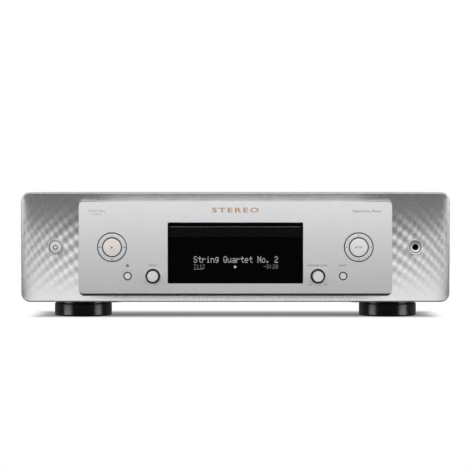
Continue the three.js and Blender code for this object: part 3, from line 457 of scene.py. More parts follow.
def panel_rows():
    """Rings of points: round the rim, over the face, into the pocket behind it and round the back."""
    straight, corner = (230, 120), 12
    inner = side_points(-156, 156, 31, 115, 3, straight, corner)
    rows = []
    bevel_steps, face_steps = 6, 62
    for i in range(bevel_steps + 1):
        a = math.pi / 2 * i / bevel_steps
        ring = panel_ring(EDGE_R * (1 - math.cos(a)), straight, corner)
        rows.append([(x, FRONT + EDGE_R * (1 - math.sin(a)), z) for x, z in ring])
    start = panel_ring(EDGE_R, straight, corner)
    for i in range(1, face_steps + 1):
        t = i / face_steps
        ring = [(a + (c - a) * t, b + (d - b) * t) for (a, b), (c, d) in zip(start, inner)]
        rows.append([(x, FRONT + panel_depth(x, z), z) for x, z in ring])
    wall, pocket, back = 3.0, P_LO[1] + 7.5, P_HI[1]
    inset = panel_ring(wall, straight, corner)
    for ring, y in (
        (inner, pocket), (inset, pocket), (inset, back - 0.3), (panel_ring(wall - 0.4, straight, corner),
        back), (panel_ring(0.4, straight, corner), back), (panel_ring(0, straight, corner), back - 0.4)
    ):
        rows.append([(x, y, z) for x, z in ring])
    return rows


def drill(obj, places, r):
    """Cuts round holes of radius r through the panel."""
    cutters = []
    for x, z in places:
        bm = new()
        add_lathe(bm, [(0, 185), (r, 185), (r, 205), (0, 205)], (x, 0, z))
        bmesh.ops.recalc_face_normals(bm, faces=bm.faces)
        mesh = bpy.data.meshes.new("cutter")
        bm.to_mesh(mesh)
        bm.free()
        cutters.append(add_object("cutter", mesh))
        mod = obj.modifiers.new("hole", "BOOLEAN")
        mod.object = cutters[-1]
        mod.solver = "MANIFOLD"
    cut = bpy.data.meshes.new_from_object(obj.evaluated_get(bpy.context.evaluated_depsgraph_get()))
    obj.modifiers.clear()
    obj.data = cut
    weigh(obj)
    cut.shade_smooth()
    cut.set_sharp_from_angle(angle=math.radians(40))
    for cutter in cutters:
        bpy.data.objects.remove(cutter)


def front_panel():
    bm = new()
    rings = [[bm.verts.new([c * MM for c in p]) for p in row] for row in panel_rows()]
    count = len(rings[0])
    for a, b in zip(rings, rings[1:] + rings[:1]):
        for i in range(count):
            j = (i + 1) % count
            bm.faces.new((a[i], a[j], b[j], b[i]))
    obj = piece("front_panel_shell", bm, PANEL, "case", "silver_panel", ["front_panel"], smooth=40)
    drill(obj, [(-SIDE_X, SIDE_Z), (SIDE_X, SIDE_Z)], 7.45)


front_panel()

# ---- centre plate and window

C_LO, C_HI = cad("centre_plate")
FACE = C_LO[1]
KEYS = {"ring": (127.2, 73.2), "small": (111.2, 43.4), "knob": (85.1, 43.4)}
HOLES = {"ring": 15.25, "small": 4.35, "knob": 7.6}  # radii
WINDOW = (-69.8, 69.8, 35.8, 98.6)


def centre_plate():
    loops = [
        rounded(C_LO[0] + 0.1, C_HI[0] - 0.1, C_LO[2] + 0.5, C_HI[2] - 1.1, 4.5, 10),
        rounded(*WINDOW, 1.2, 4),
    ]
    for s in (-1, 1):
        for key, r in HOLES.items():
            x, z = KEYS[key]
            loops.append(circle(s * x, z, r, 96))
    bm = new()
    add_plate(bm, loops, C_LO[1], C_HI[1], bevel=0.35, segments=2)
    bmesh.ops.dissolve_degenerate(bm, dist=1e-6, edges=bm.edges)
    bmesh.ops.dissolve_limit(bm, angle_limit=math.radians(0.5), verts=bm.verts, edges=bm.edges)
    piece("centre_plate_face", bm, PLATE, "case", "silver_plate", ["centre_plate"], smooth=8)


def key_hole_painted_shade():
    """Near-black sleeves in the plate's key holes: painted shade in the gaps round the keys."""
    bm = new()
    for s in (-1, 1):
        for key, t in (("ring", 0.6), ("small", 0.5), ("knob", 0.35)):
            r = HOLES[key] - 0.02
            profile = [(r - t, 199.7), (r, 199.7), (r, 203.5), (r - t, 203.5)]
            x, z = KEYS[key]
            add_lathe(bm, profile, (s * x, 0, z), closed=True)
    piece("key_hole_painted_shade", bm, SHADE, "case", "black_plastic")


def plate_painted_shadow():
    """A near-black band behind the plate's edge: a painted shadow, seen as a fine line under the plate."""
    bm = new()
    outer = rounded(C_LO[0] + 1.0, C_HI[0] - 1.0, C_LO[2] - 1.65, C_HI[2] - 2.1, 4.5, 10)
    add_plate(bm, [outer, rounded(-157, 157, 30, 116, 3.0, 8)], -199.45, -198.7, bevel=0.1)
    piece("plate_painted_shadow", bm, SHADE, "case", "black_plastic")


def window():
    lo, hi = cad("display_window")
    d_lo, d_hi = cad("tray_door")
    slot = (d_lo[0] - 0.25, d_hi[0] + 0.25, d_lo[2] - 0.25, d_hi[2] + 0.25)
    bm = new()
    loops = [rounded(lo[0], hi[0], lo[2] - 0.3, hi[2], 1.1, 4), rounded(*slot, 0.6, 3)]
    add_plate(bm, loops, lo[1], hi[1], bevel=0.15)
    piece("window_face", bm, GLASS, "case", "black_window", ["display_window"], smooth=20)
    bm = new()
    door = rounded(d_lo[0], d_hi[0], d_lo[2], d_hi[2], 0.7, 4)
    add_plate(bm, [door], d_lo[1] + 0.3, d_hi[1], bevel=0.35, segments=2)
    piece("tray_door_face", bm, DOOR, "tray", "black_window", ["tray_door"], smooth=20)
    # A grey strip along the top of the door: a painted highlight line on its edge.
    bm = new()
    y, z = d_lo[1], d_hi[2]
    add_box(bm, d_lo[0] + 0.8, d_hi[0] - 0.8, y + 0.2, y + 0.5, z - 0.8, z - 0.35, 0.05, 1)
    piece("tray_door_painted_highlight", bm, GREY, "tray", "black_window")


centre_plate()
key_hole_painted_shade()
plate_painted_shadow()
window()

# Dots of the 5 x 7 character display, row by row.
GLYPHS = {
    "S": "01110 10001 10000 01110 00001 10001 01110",
    "t": "00100 00100 11111 00100 00100 00100 00011",
    "r": "00000 00000 10110 11001 10000 10000 10000",
    "i": "00100 00000 01100 00100 00100 00100 01110",
    "n": "00000 00000 11110 10001 10001 10001 10001",
    "g": "00000 01111 10001 10001 01111 00001 01110",
    "Q": "01110 10001 10001 10001 10101 10010 01101",
    "u": "00000 00000 10001 10001 10001 10011 01101",
    "a": "00000 00000 01110 00001 01111 10001 01111",
    "e": "00000 00000 01110 10001 11111 10000 01110",
    "N": "10001 11001 10101 10101 10011 10001 10001",
    "o": "00000 00000 01110 10001 10001 10001 01110",
    "T": "11111 00100 00100 00100 00100 00100 00100",
    ".": "00000 00000 00000 00000 00000 01100 01100",
    ":": "00000 01100 01100 00000 01100 01100 00000",
    "-": "00000 00000 00000 11111 00000 00000 00000",
    "0": "01110 10001 10011 10101 11001 10001 01110",
    "1": "00100 01100 00100 00100 00100 00100 01110",
    "2": "01110 10001 00001 00110 01000 10000 11111",
    "9": "01110 10001 10001 01111 00001 10001 01110",
    " ": "",
}


def add_dots(bm, words, x0, x1, z0, z1, y):
    """Characters as rows of small square dots between x0 and x1."""
    pitch = (x1 - x0) / (len(words) - 1 + 5 / 6)
    dx, dz = pitch / 6, (z1 - z0) / 7
    for k, letter in enumerate(words):
        for row, bits in enumerate(GLYPHS[letter].split()):
            for col, bit in enumerate(bits):
                if bit == "1":
                    x = x0 + k * pitch + (col + 0.5) * dx
                    z = z1 - (row + 0.5) * dz
                    w, h = dx * 0.40, dz * 0.40
                    add_box(bm, x - w, x + w, y, y + 0.08, z - h, z + h, bevel=0)


def display():
    y = cad("display_window")[0][1] - 0.06
    bm = new()
    add_dots(bm, "String Quartet No. 2", -43.0, 44.0, 57.2, 64.0, y)
    piece("display_title", bm, GLOW, "case", "black_window", smooth=20)
    bm = new()
    add_dots(bm, "T:12", -43.0, -31.5, 51.2, 55.6, y)
    add_box(bm, -43.0, -33.5, y, y + 0.08, 50.3, 50.8, bevel=0)
    add_dots(bm, "-9:20", 29.0, 44.0, 51.0, 55.6, y)
    piece("display_track", bm, GLOW_DIM, "case", "black_window", smooth=20)
    bm = new()
    add_plate(bm, [[(-1.3, 51.3), (1.7, 53.0), (-1.3, 54.7)]], y, y + 0.08, bevel=0)
    piece("display_play_mark", bm, GLOW, "case", "black_window", smooth=20)


display()

# ---- keys, knobs, sockets on the front


def key_place(side, kind):
    x, z = KEYS[kind]
    return side * x, 0, z


def ring_key(side, node):
    profile = [(10.35, 202.6), (11.05, 202.4), (11.05, 201.5), (14.05, 201.5), (14.3, 201.7), (14.3, 204.3)]
    profile += [(14.22, 204.55), (14.05, 204.65), (10.6, 204.65), (10.43, 204.55), (10.35, 204.3)]
    at = key_place(side, "ring")
    turned(node + "_face", profile, at, RING, node, "silver_key", [node], closed=True, n=96)


def centre_key(side, node, mat):
    at = key_place(side, "ring")
    profile = [(0, 198.2), (1.8, 198.2), (1.8, 198.6), (4.5, 198.6), (4.5, 202.2), (9.0, 202.2)]
    profile += [(9.2, 202.4), (9.2, 204.6), (9.12, 204.85), (8.95, 204.95), (0, 205.0)]
    turned(node + "_face", profile, at, mat, node, "silver_key", [node], n=96)
    # A near-black flange behind the key: painted shade in the gap round it.
    profile = [(4.55, 201.5), (9.6, 201.5), (9.8, 201.65), (9.8, 201.95), (9.6, 202.1), (4.55, 202.1)]
    turned(node + "_painted_shade_flange", profile, at, SHADE, node, "black_plastic", closed=True)


def small_key(side, node):
    at = key_place(side, "small")
    profile = [(0, 199.25), (3.15, 199.25), (3.27, 204.6), (3.1, 204.88), (2.95, 204.98), (0, 205.05)]
    turned(node + "_face", profile, at, KEY, node, "silver_key", [node])
    # A near-black skirt behind the key: painted shade in the gap round it.
    profile = [(0, 198.2), (1.8, 198.2), (1.8, 198.6), (5, 198.6), (5, 199.2), (0, 199.2)]
    turned(node + "_painted_shade_skirt", profile, at, SHADE, node, "black_plastic")


def knob(side, node):
    at = key_place(side, "knob")
    profile = [(0, 204.6), (5.35, 204.6), (5.45, 204.8), (5.45, 206.4), (5.3, 206.6), (5.3, 207.0)]
    profile += [(5.45, 207.2), (5.45, 215.1), (5.41, 215.6), (5.31, 215.85), (5.17, 216.0), (0, 216.0)]
    turned(node + "_body", profile, at, KEY, node, "silver_key", [node])
    # A near-black collar round the knob's foot: painted shade in the gap round it.
    profile = [(0, 195.6), (3, 195.6), (3, 200.4), (6.5, 200.4), (6.6, 200.6), (6.6, 204.3), (6.4, 204.55)]
    turned(node + "_painted_shade_collar", profile + [(0, 204.55)], at, SHADE, node, "black_plastic")


def power_key():
    x, z = -SIDE_X, SIDE_Z
    profile = [(6.8, 190), (7.1, 190), (7.1, 196), (7.6, 197.6), (7.6, 198.6), (7.5, 198.7), (6.9, 198.65)]
    at, profile = (x, 0, z), profile + [(6.8, 198.4)]
    turned("power_bezel_ring", profile, at, RING, "case", "silver_key", ["power_bezel"], closed=True)
    profile = [(0, 184.6), (2.2, 184.6), (2.2, 193), (6.1, 193), (6.2, 193.2), (6.2, 198.0), (6.1, 198.2)]
    profile += [(5.6, 198.26), (0, 198.3)]
    turned("power_button_cap", profile, at, RING, "power_button", "silver_key", ["power_button"])
    bm = new()
    ring = arc(x, z, 2.6, 125, 290, 28) + arc(x, z, 1.7, 125, 290, 28)[::-1]
    add_plate(bm, [ring], -198.36, -198.24, bevel=0.01)
    add_box(bm, x - 0.35, x + 0.35, -198.36, -198.24, z + 0.4, z + 3.0, bevel=0.02)
    piece("power_symbol", bm, INK_DARK, "power_button", "black_plastic")


def phones_socket():
    at = (SIDE_X, 0, SIDE_Z)
    profile = [(3.2, 192), (7.1, 192), (7.1, 196.0), (7.6, 197.6), (7.6, 198.75), (7.45, 198.94)]
    profile += [(6.3, 198.75), (6.15, 198.5), (6.0, 196.9), (5.35, 196.9), (5.3, 198.6), (5.1, 198.75)]
    profile += [(3.4, 198.45), (3.2, 198.15)]
    turned("phones_bezel_ring", profile, at, RING, "case", "silver_key", ["phones_bezel"], closed=True)
    # A near-black ring at the bottom of the bezel's groove: painted shade.
    profile = [(5.37, 196.95), (5.98, 196.95), (5.98, 197.6), (5.37, 197.6)]
    turned("phones_groove_painted_shade", profile, at, SHADE, "case", "black_plastic", closed=True)


for s, ring_node, centre_node, small_node, knob_node, mat in (
    (-1, "transport_ring", "play_button", "eject_button", "input_knob", KEY_WARM),
    (1, "cursor_ring", "enter_button", "back_button", "level_knob", KEY),
):
    ring_key(s, ring_node)
    centre_key(s, centre_node, mat)
    small_key(s, small_node)
    knob(s, knob_node)
power_key()
phones_socket()

# ---- printed marks on the front


def triangle(cx, cz, w, h, way=1):
    return [(cx - way * w / 2, cz - h / 2), (cx + way * w / 2, cz), (cx - way * w / 2, cz + h / 2)]


def bar(cx, cz, w, h):
    x0, x1, z0, z1 = cx - w / 2, cx + w / 2, cz - h / 2, cz + h / 2
    return [(x0, z0), (x1, z0), (x1, z1), (x0, z1)]


def marks(name, y, mat, body, slot, words=(), shapes=()):
    """Prints words, given as (text, x, z, sizes), and plain outlines on a face at y."""
    bm = new()
    for text, x, z, sizes in words:
        add_text(bm, text, x, z, y, **sizes)
    for outline in shapes:
        add_plate(bm, [outline], y, y + 0.08, bevel=0.01)
    piece(name, bm, mat, body, slot)


def plate_marks():
    face = (FACE - 0.05, INK_DARK, "case", "silver_plate")
    words = [("STEREO", 0, 111.6, {"width": 48.0, "height": 5.0, "spacing": 1.35, "bold": 0.028})]
    marks("word_stereo", face[0], INK_GOLD, "case", "silver_plate", words)
    words = [
        ("DIGITAL", -142.5, 110.6, {"width": 17.0, "height": 2.5, "spacing": 1.3}),
        ("AUDIO", -142.5, 107.4, {"width": 10.0, "height": 1.7, "spacing": 1.3}),
    ]
    marks("word_digital", face[0], INK, "case", "silver_plate", words)
    marks("word_player", *face, [("Digital Disc Player", 136.0, 110.2, {"width": 30.0, "height": 2.6})])
    knob, small = KEYS["knob"][0], KEYS["small"][0]
    words = [
        ("INPUT", -knob, 54.5, {"width": 8.6, "height": 1.7}),
        ("PHONES LEVEL", knob, 54.5, {"width": 20.5, "height": 1.7}),
        ("BACK", small, 54.5, {"width": 7.6, "height": 1.7}),
        ("MIN", knob - 7.9, 34.6, {"width": 3.4, "height": 1.1}),
        ("MAX", knob + 8.1, 34.6, {"width": 3.6, "height": 1.1}),
    ]
    marks("word_labels", *face, words)
    arrow = [(-small - 1.7, 54.1), (-small + 1.7, 54.1), (-small, 56.2)]
    marks("eject_symbol", *face, shapes=[arrow, bar(-small, 53.3, 3.4, 0.6)])


def key_marks():
    x, z = KEYS["ring"]
    out, y = 12.6, -204.68
    marks("play_symbol", -205.06, INK, "play_button", "silver_key", shapes=[triangle(-x, z, 2.5, 3.2)])
    shapes = [bar(-x, z - out, 1.5, 1.5), bar(-x, z + out, 1.9, 0.35)]
    for way in (-1, 1):
        cx = way * out - x
        shapes += [triangle(cx - 0.55, z, 1.0, 1.5, way), triangle(cx + 0.55, z, 1.0, 1.5, way)]
        shapes.append(bar(cx + way * 1.25, z, 0.3, 1.5))
    marks("transport_symbols", y, INK_DARK, "transport_ring", "silver_key", shapes=shapes)
    words = [("ENTER", x, z, {"width": 7.6, "height": 1.7})]
    marks("enter_word", -205.05, INK_DARK, "enter_button", "silver_key", words)
    shapes = []
    for way in (-1, 1):
        shapes.append(triangle(x + way * out, z, 1.1, 1.6, way))
        shapes.append([(x - 0.8, z + way * 12.2), (x + 0.8, z + way * 12.2), (x, z + way * 13.3)])
    marks("cursor_symbols", y, INK_DARK, "cursor_ring", "silver_key", shapes=shapes)


plate_marks()
key_marks()

# ---- feet


FEET = ("foot_front_left", "foot_front_right", "foot_rear_left", "foot_rear_right")


def foot(node):
    """A turned foot with a narrower neck at its top, standing on a rubber ring."""
    lo, hi = cad(node)
    at, r, top = ((lo[0] + hi[0]) / 2, (lo[1] + hi[1]) / 2, 0), (hi[0] - lo[0]) / 2 + 0.5, hi[2]
    profile = [(0, 5.5), (6.6, 5.5), (7, 5.1), (7, 0.7), (7.3, 0.4), (r - 1.6, 0.4), (r - 0.9, 0.65)]
    profile += [(r - 0.35, 1.2), (r, 2.2), (r, top - 3.4), (r - 0.25, top - 2.9), (r - 0.9, top - 2.4)]
    profile += [(r - 1.2, top - 2.0), (r - 1.2, top - 0.3), (r - 1.5, top), (0, top)]
    body, slot = "case", "black_plastic"
    turned(node + "_turned", profile, at, FOOT, body, slot, [node], axis="up", n=128)
    profile = [(9, 0.05), (9.2, 0), (r - 4, 0), (r - 3.8, 0.05), (r - 3.8, 0.6), (9, 0.6)]
    turned(node + "_pad", profile, at, RUBBER, body, slot, axis="up", closed=True)


for name in FEET:
    foot(name)

# ---- cover, rear panel and their screws


def add_screw(bm, x, y, z, way, r=3.0):
    """A pan-head cross screw whose head faces along way: "left", "right" or "rear"."""
    made = new()
    add_lathe(
        made, [(0, -3), (1.4, -3), (1.4, 0), (r, 0), (r, 0.5), (r * 0.85, 1.2), (r * 0.5, 1.55), (0, 1.6)],
        axis="up", n=28
    )
    turn = {
        "rear": Matrix.Rotation(-math.pi / 2, 4, "X"),
        "right": Matrix.Rotation(math.pi / 2, 4, "Y"),
        "left": Matrix.Rotation(-math.pi / 2, 4, "Y"),
    }[way]
    place = Matrix.Translation(Vector((x, y, z)) * MM)
    mesh = bpy.data.meshes.new("screw")
    bmesh.ops.recalc_face_normals(made, faces=made.faces)
    made.to_mesh(mesh)
    made.free()
    mesh.transform(place @ turn)
    bm.from_mesh(mesh)
    bpy.data.meshes.remove(mesh)


def add_painted_cross_shade(bm, x, y, z, way, r=3.0):
    """A near-black cross on a screw head: painted shade standing in for its recess."""
    a, d, h = r * 0.6, r * 0.16, 1.66
    for u, v in ((a, d), (d, a)):
        if way == "rear":
            add_box(bm, x - u, x + u, y + h - 0.5, y + h, z - v, z + v, bevel=0.05, segments=1)
        else:
            s = 1 if way == "right" else -1
            lo, hi = sorted((x + s * (h - 0.5), x + s * h))
            add_box(bm, lo, hi, y - u, y + u, z - v, z + v, bevel=0.05, segments=1)


def top_cover():
    lo, hi = cad("top_cover")
    t, r = 1.2, 3.5
    bm = new()
    rows = [(x, 60 + i * 9) for x in (-148, 148) for i in range(10)]
    slots = [rounded(x - 30, x + 30, y, y + 3, 1.45, 5) for x, y in rows]
    flat = rounded(lo[0] + r, hi[0] - r, lo[1], hi[1], 0.05, 1)
    add_plate(bm, [flat] + slots, hi[2] - t, hi[2], plane="top", bevel=0.12)
    for s in (-1, 1):
        edge = hi[0] * s
        outer, inner = (arc(edge - s * r, hi[2] - r, bend, 90, -90 * s, 10) for bend in (r, r - t))
        loop = outer + [(edge, lo[2]), (edge - s * t, lo[2])] + inner[::-1]
        add_plate(bm, [loop], lo[1], hi[1], bevel=0.12)
    piece("cover_folded", bm, COVER, "case", "silver_paint", ["top_cover"], smooth=30)
    heads, crosses = new(), new()
    for y in (-120, 150):
        for way, x in (("left", lo[0]), ("right", hi[0])):
            add_screw(heads, x, y, 34, way, 3.6)
            add_painted_cross_shade(crosses, x, y, 34, way, 3.6)
    piece("cover_side_screws", heads, SCREW, "case", "steel")
    piece("cover_side_cross_shade", crosses, SHADE, "case", "steel")


SOCKETS = {
    "mains": (-186, 44, 14.5, 10.5),
    "network": (-4, 46, 22, 9),
    "digital": (62, 48, 15, 15),
    "analogue": (160, 52, 22, 20),
}


def rear_panel():
    lo, hi = cad("rear_panel")
    loops = [rounded(lo[0], hi[0], lo[2], hi[2], 2.0, 5)]
    for x, z, w, h in SOCKETS.values():
        loops.append(rounded(x - w, x + w, z - h, z + h, 0.8, 3))
    bm = new()
    add_plate(bm, loops, lo[1], hi[1], bevel=0.1)
    piece("rear_sheet", bm, COVER, "case", "silver_paint", ["rear_panel"])
    heads, crosses = new(), new()
    places = [(x, 121) for x in (-205, -100, 0, 100, 205)] + [(x, 26) for x in (-150, -60, 30, 110, 205)]
    places += [(-192, 80), (-100, 80), (120, 90), (200, 90), (-205, 62), (205, 62)]
    for x, z in places:
        add_screw(heads, x, hi[1], z, "rear", 2.6)
        add_painted_cross_shade(crosses, x, hi[1], z, "rear", 2.6)
    piece("rear_screws", heads, SCREW, "case", "steel")
    piece("rear_cross_shade", crosses, SHADE, "case", "steel")
    bm = new()
    y = hi[1] + 0.05
    words = (
        ("AC IN", -186, 62, 15), ("NETWORK", -14, 62, 18), ("DATA 5V", 8, 62, 14),
        ("DIGITAL OUT", 62, 74, 26), ("COAXIAL", 62, 69, 14), ("OPTICAL", 62, 27, 14),
        ("ANALOGUE OUT", 160, 86, 32), ("FIXED", 150, 80, 9), ("VARIABLE", 171, 80, 14),
        ("L", 188.5, 61, 1.5), ("R", 188.5, 43, 1.9)
    )
    for text, x, z, width in words:
        add_text(bm, text, x, z, y, width=width, back=True)
    piece("rear_words", bm, INK_DARK, "case", "silver_paint")


FLANGE_Y = 204.3  # where the sockets' flanges lie on the rear panel
SOCKET_FACE = 205.8
PHONO_END = 216.0


def around(kind, grow, r, n):
    """The outline of a socket's opening, grown outwards."""
    x, z, w, h = SOCKETS[kind]
    return rounded(x - w - grow, x + w + grow, z - h - grow, z + h + grow, r, n)


def add_body(bm, kind, y0, y1):
    """The block behind a socket's flange, a little smaller than its opening."""
    x, z, w, h = SOCKETS[kind]
    w, h = w - 0.3, h - 0.3
    add_box(bm, x - w, x + w, y0, y1, z - h, z + h, bevel=0.2, segments=1)


def phono(shells, rings, x, z):
    """A phono socket: its barrel and nut in one mesh, its coloured ring in the other."""
    y0, y1, at = -SOCKET_FACE, -PHONO_END, (x, 0, z)
    profile = [(1.9, y0), (4.15, y0), (4.15, y1 + 0.4), (3.9, y1), (3.4, y1), (3.3, y1 + 0.5)]
    add_lathe(shells, profile + [(3.3, y0 - 1.5), (1.9, y0 - 1.5)], at, closed=True, n=48)
    add_lathe(shells, [(5.6, y0), (5.6, y0 - 0.8), (4.3, y0 - 1.2), (4.3, y0)], at, closed=True, n=6)
    profile = [(1.0, y0 - 1.6), (3.25, y0 - 1.6), (3.25, y1 + 1.0), (1.75, y1 + 1.0)]
    add_lathe(rings, profile + [(1.75, y1 + 4.5), (1.0, y1 + 4.5)], at, closed=True, n=40)


def phono_sockets():
    x, z = SOCKETS["analogue"][:2]
    shells, red, white, coax = new(), new(), new(), new()
    for dx in (-10, 10):
        for dz, ring in ((9, white), (-9, red)):
            phono(shells, ring, x + dx, z + dz)
    x, z = SOCKETS["digital"][:2]
    phono(shells, coax, x, z + 7)
    piece("phono_barrels", shells, GOLD, "case", "steel")
    piece("phono_rings_left", white, IVORY, "case", "white_plastic")
    piece("phono_rings_right", red, RED, "case", "black_plastic")
    piece("coaxial_ring", coax, RUBBER, "case", "black_plastic")


def analogue_block():
    bm = new()
    add_plate(bm, [around("analogue", 2.5, 1.5, 4)], FLANGE_Y, SOCKET_FACE, bevel=0.25)
    add_body(bm, "analogue", 190.8, 204.4)
    piece("analogue_block", bm, BLACK, "case", "black_plastic", ["analogue_sockets"])


def digital_block():
    """Its flange, and the optical socket's hood with a shutter opening through both."""
    x, z = SOCKETS["digital"][:2]
    bm = new()
    shutter = rounded(x - 2.6, x + 2.6, z - 9.7, z - 4.6, 0.3, 2)
    add_plate(bm, [around("digital", 2.5, 1.5, 4), shutter], FLANGE_Y, SOCKET_FACE, bevel=0.25)
    hood = rounded(x - 5, x + 5, z - 12, z - 2.5, 0.8, 3)
    add_plate(bm, [hood, shutter], SOCKET_FACE - 0.2, 208.5, bevel=0.25)
    add_body(bm, "digital", 190.8, 200)
    piece("digital_block", bm, BLACK, "case", "black_plastic", ["digital_sockets"])


def network_block():
    """A network socket with its latch notch, a data socket, and their contacts."""
    x, z = SOCKETS["network"][:2]
    lan = [(x - 16, z - 4.2), (x - 4, z - 4.2), (x - 4, z + 2.6), (x - 7.4, z + 2.6), (x - 7.4, z + 4.2)]
    lan += [(x - 12.6, z + 4.2), (x - 12.6, z + 2.6), (x - 16, z + 2.6)]
    usb = rounded(x + 4, x + 16.5, z - 2.6, z + 2.6, 0.3, 2)
    bm = new()
    add_plate(bm, [around("network", 2.5, 1.5, 4), lan, usb], FLANGE_Y, SOCKET_FACE, bevel=0.2)
    piece("network_plate", bm, STEEL, "case", "steel")
    bm = new()
    add_body(bm, "network", 186.8, 191.0)
    for loop in (lan, usb):
        cx = sum(p[0] for p in loop) / len(loop)
        cz = sum(p[1] for p in loop) / len(loop)
        grown = [(cx + (a - cx) * 1.08, cz + (b - cz) * 1.12) for a, b in loop]
        add_plate(bm, [grown, loop], 191.0, 204.2, bevel=0.05)
    add_box(bm, x + 5, x + 15.5, 191, 202, z, z + 1.8, bevel=0.15, segments=1)
    piece("network_block", bm, BLACK, "case", "black_plastic", ["network_sockets"])
    bm = new()
    for i in range(8):
        cx = x - 14.2 + i * 1.2
        add_box(bm, cx - 0.22, cx + 0.22, 192, 201, z + 1.8, z + 2.2, bevel=0.05, segments=1)
    for i in range(4):
        cx = x + 6.6 + i * 2.4
        add_box(bm, cx - 0.5, cx + 0.5, 194, 201, z - 0.15, z + 0.1, bevel=0.03, segments=1)
    piece("network_contacts", bm, GOLD, "case", "steel")


def mains_inlet():
    """A two-pin inlet: a cavity with two round ends, and its pins."""
    x, z = SOCKETS["mains"][:2]
    cavity = arc(x + 4.6, z, 4.4, -90, 180, 12) + arc(x - 4.6, z, 4.4, 90, 180, 12)
    bm = new()
    add_plate(bm, [around("mains", 2.5, 2.0, 5), cavity], FLANGE_Y, SOCKET_FACE, bevel=0.3)
    grown = [(x + (a - x) * 1.1, z + (b - z) * 1.2) for a, b in cavity]
    add_plate(bm, [grown, cavity], 195, 204.4, bevel=0.05)
    add_body(bm, "mains", 188.8, 195.1)
    piece("mains_block", bm, BLACK, "case", "black_plastic", ["mains_inlet"])
    bm = new()
    for s in (-1, 1):
        profile = [(0, -204.5), (0.8, -204.4), (1.2, -203.9), (1.2, -195.0), (0, -195.0)]
        add_lathe(bm, profile, (x + s * 4.3, 0, z), n=20)
    piece("mains_pins", bm, STEEL, "case", "steel")


top_cover()
rear_panel()
phono_sockets()
analogue_block()
digital_block()
network_block()
mains_inlet()

# ---- disc tray

DISC_Y = -130.0


def tray_outline(lo, hi, hole, slot):
    """The tray's outline with a round recess of radius hole joined to the slot that is open to the rear."""
    x0, x1, y0, y1 = lo[0], hi[0], lo[1], hi[1]
    corner = rounded(x0, x1, y0, y1, 2.5, 6)
    front = corner[21:] + corner[:7]
    start = math.degrees(math.acos(slot / hole)) if hole > slot else 0.0
    pts = [(slot, y1)] + corner[7:14][::-1] + front[::-1] + corner[14:21][::-1] + [(-slot, y1)]
    return pts + arc(0, DISC_Y, hole, 180 - start, 180 + 2 * start, 96)


def tray_rack(lo):
    """A rack of module 1.5 under the tray, which its gear runs on, and two ribs at the front."""
    bm = new()
    pitch = math.pi * 1.5
    line, back = -54.5, -59.0  # its pitch line and its back
    y0, y1 = -179.0, -25.0
    gap = -172.0  # the middle of a gap between teeth
    half, tan = pitch / 4 - 0.055, math.tan(math.radians(20))
    foot, crest = line - 1.8, line + 1.35
    tip, root = half - 1.35 * tan, half + 1.8 * tan
    pts = [(back, y1), (back, y0), (foot, y0)]
    i = math.ceil((y0 + root - gap) / pitch - 0.5)
    while gap + (i + 0.5) * pitch + root < y1:
        mid = gap + (i + 0.5) * pitch
        pts += [(foot, mid - root), (crest, mid - tip), (crest, mid + tip), (foot, mid + root)]
        i += 1
    pts.append((foot, y1))
    add_plate(bm, [pts], 83.9, 86.9, plane="top", bevel=0.1)
    for x in (-30, 30):
        add_box(bm, x - 0.8, x + 0.8, lo[1] + 4, lo[1] + 20, 84.8, 86.9, bevel=0.2, segments=1)
    piece("tray_rack", bm, BLACK, "tray", "black_plastic")


def disc_tray():
    """Three stacked layers: the slotted deck, the small disc's recess and the large disc's recess."""
    lo, hi = cad("disc_tray")
    slot = 21.0
    bm = new()
    for hole, z0, z1, bevel in (
        (slot, 86.8, 87.9, 0.25), (40.6, 87.9, 88.9, 0.25), (60.8, 88.9, hi[2], 0.45)
    ):
        add_plate(bm, [tray_outline(lo, hi, hole, slot)], z0, z1, plane="top", bevel=bevel, segments=2)
    piece("disc_tray_moulding", bm, BLACK, "tray", "black_plastic", ["disc_tray"], smooth=50)
    tray_rack(lo)


disc_tray()

# ---- turntable


def turntable():
    profile = [
        (0, 75.6), (1.2, 75.6), (1.2, 82.5), (6, 82.5), (6, 88.0), (14.8, 88.0), (15, 88.2), (15, 90.0)
    ]
    profile += [(14.8, 90.2), (7.6, 90.2), (7.4, 90.6), (7.4, 91.4), (7.0, 92.2), (5.6, 93.0), (5.2, 93.2)]
    profile += [(2.0, 93.2), (1.8, 92.6), (0, 92.6)]
    at, body = (0, DISC_Y, 0), "turntable"
    turned("turntable_hub", profile, at, GREY, body, "grey_plastic", [body], axis="up")
    profile = [(9.5, 90.1), (14.4, 90.1), (14.4, 90.6), (9.5, 90.6)]
    turned("turntable_grip", profile, at, RUBBER, body, "rubber", axis="up", closed=True)


turntable()

# ---- circuit boards and transformer

BOARD_TOP = 27.6
BOARD_THICK = 1.6

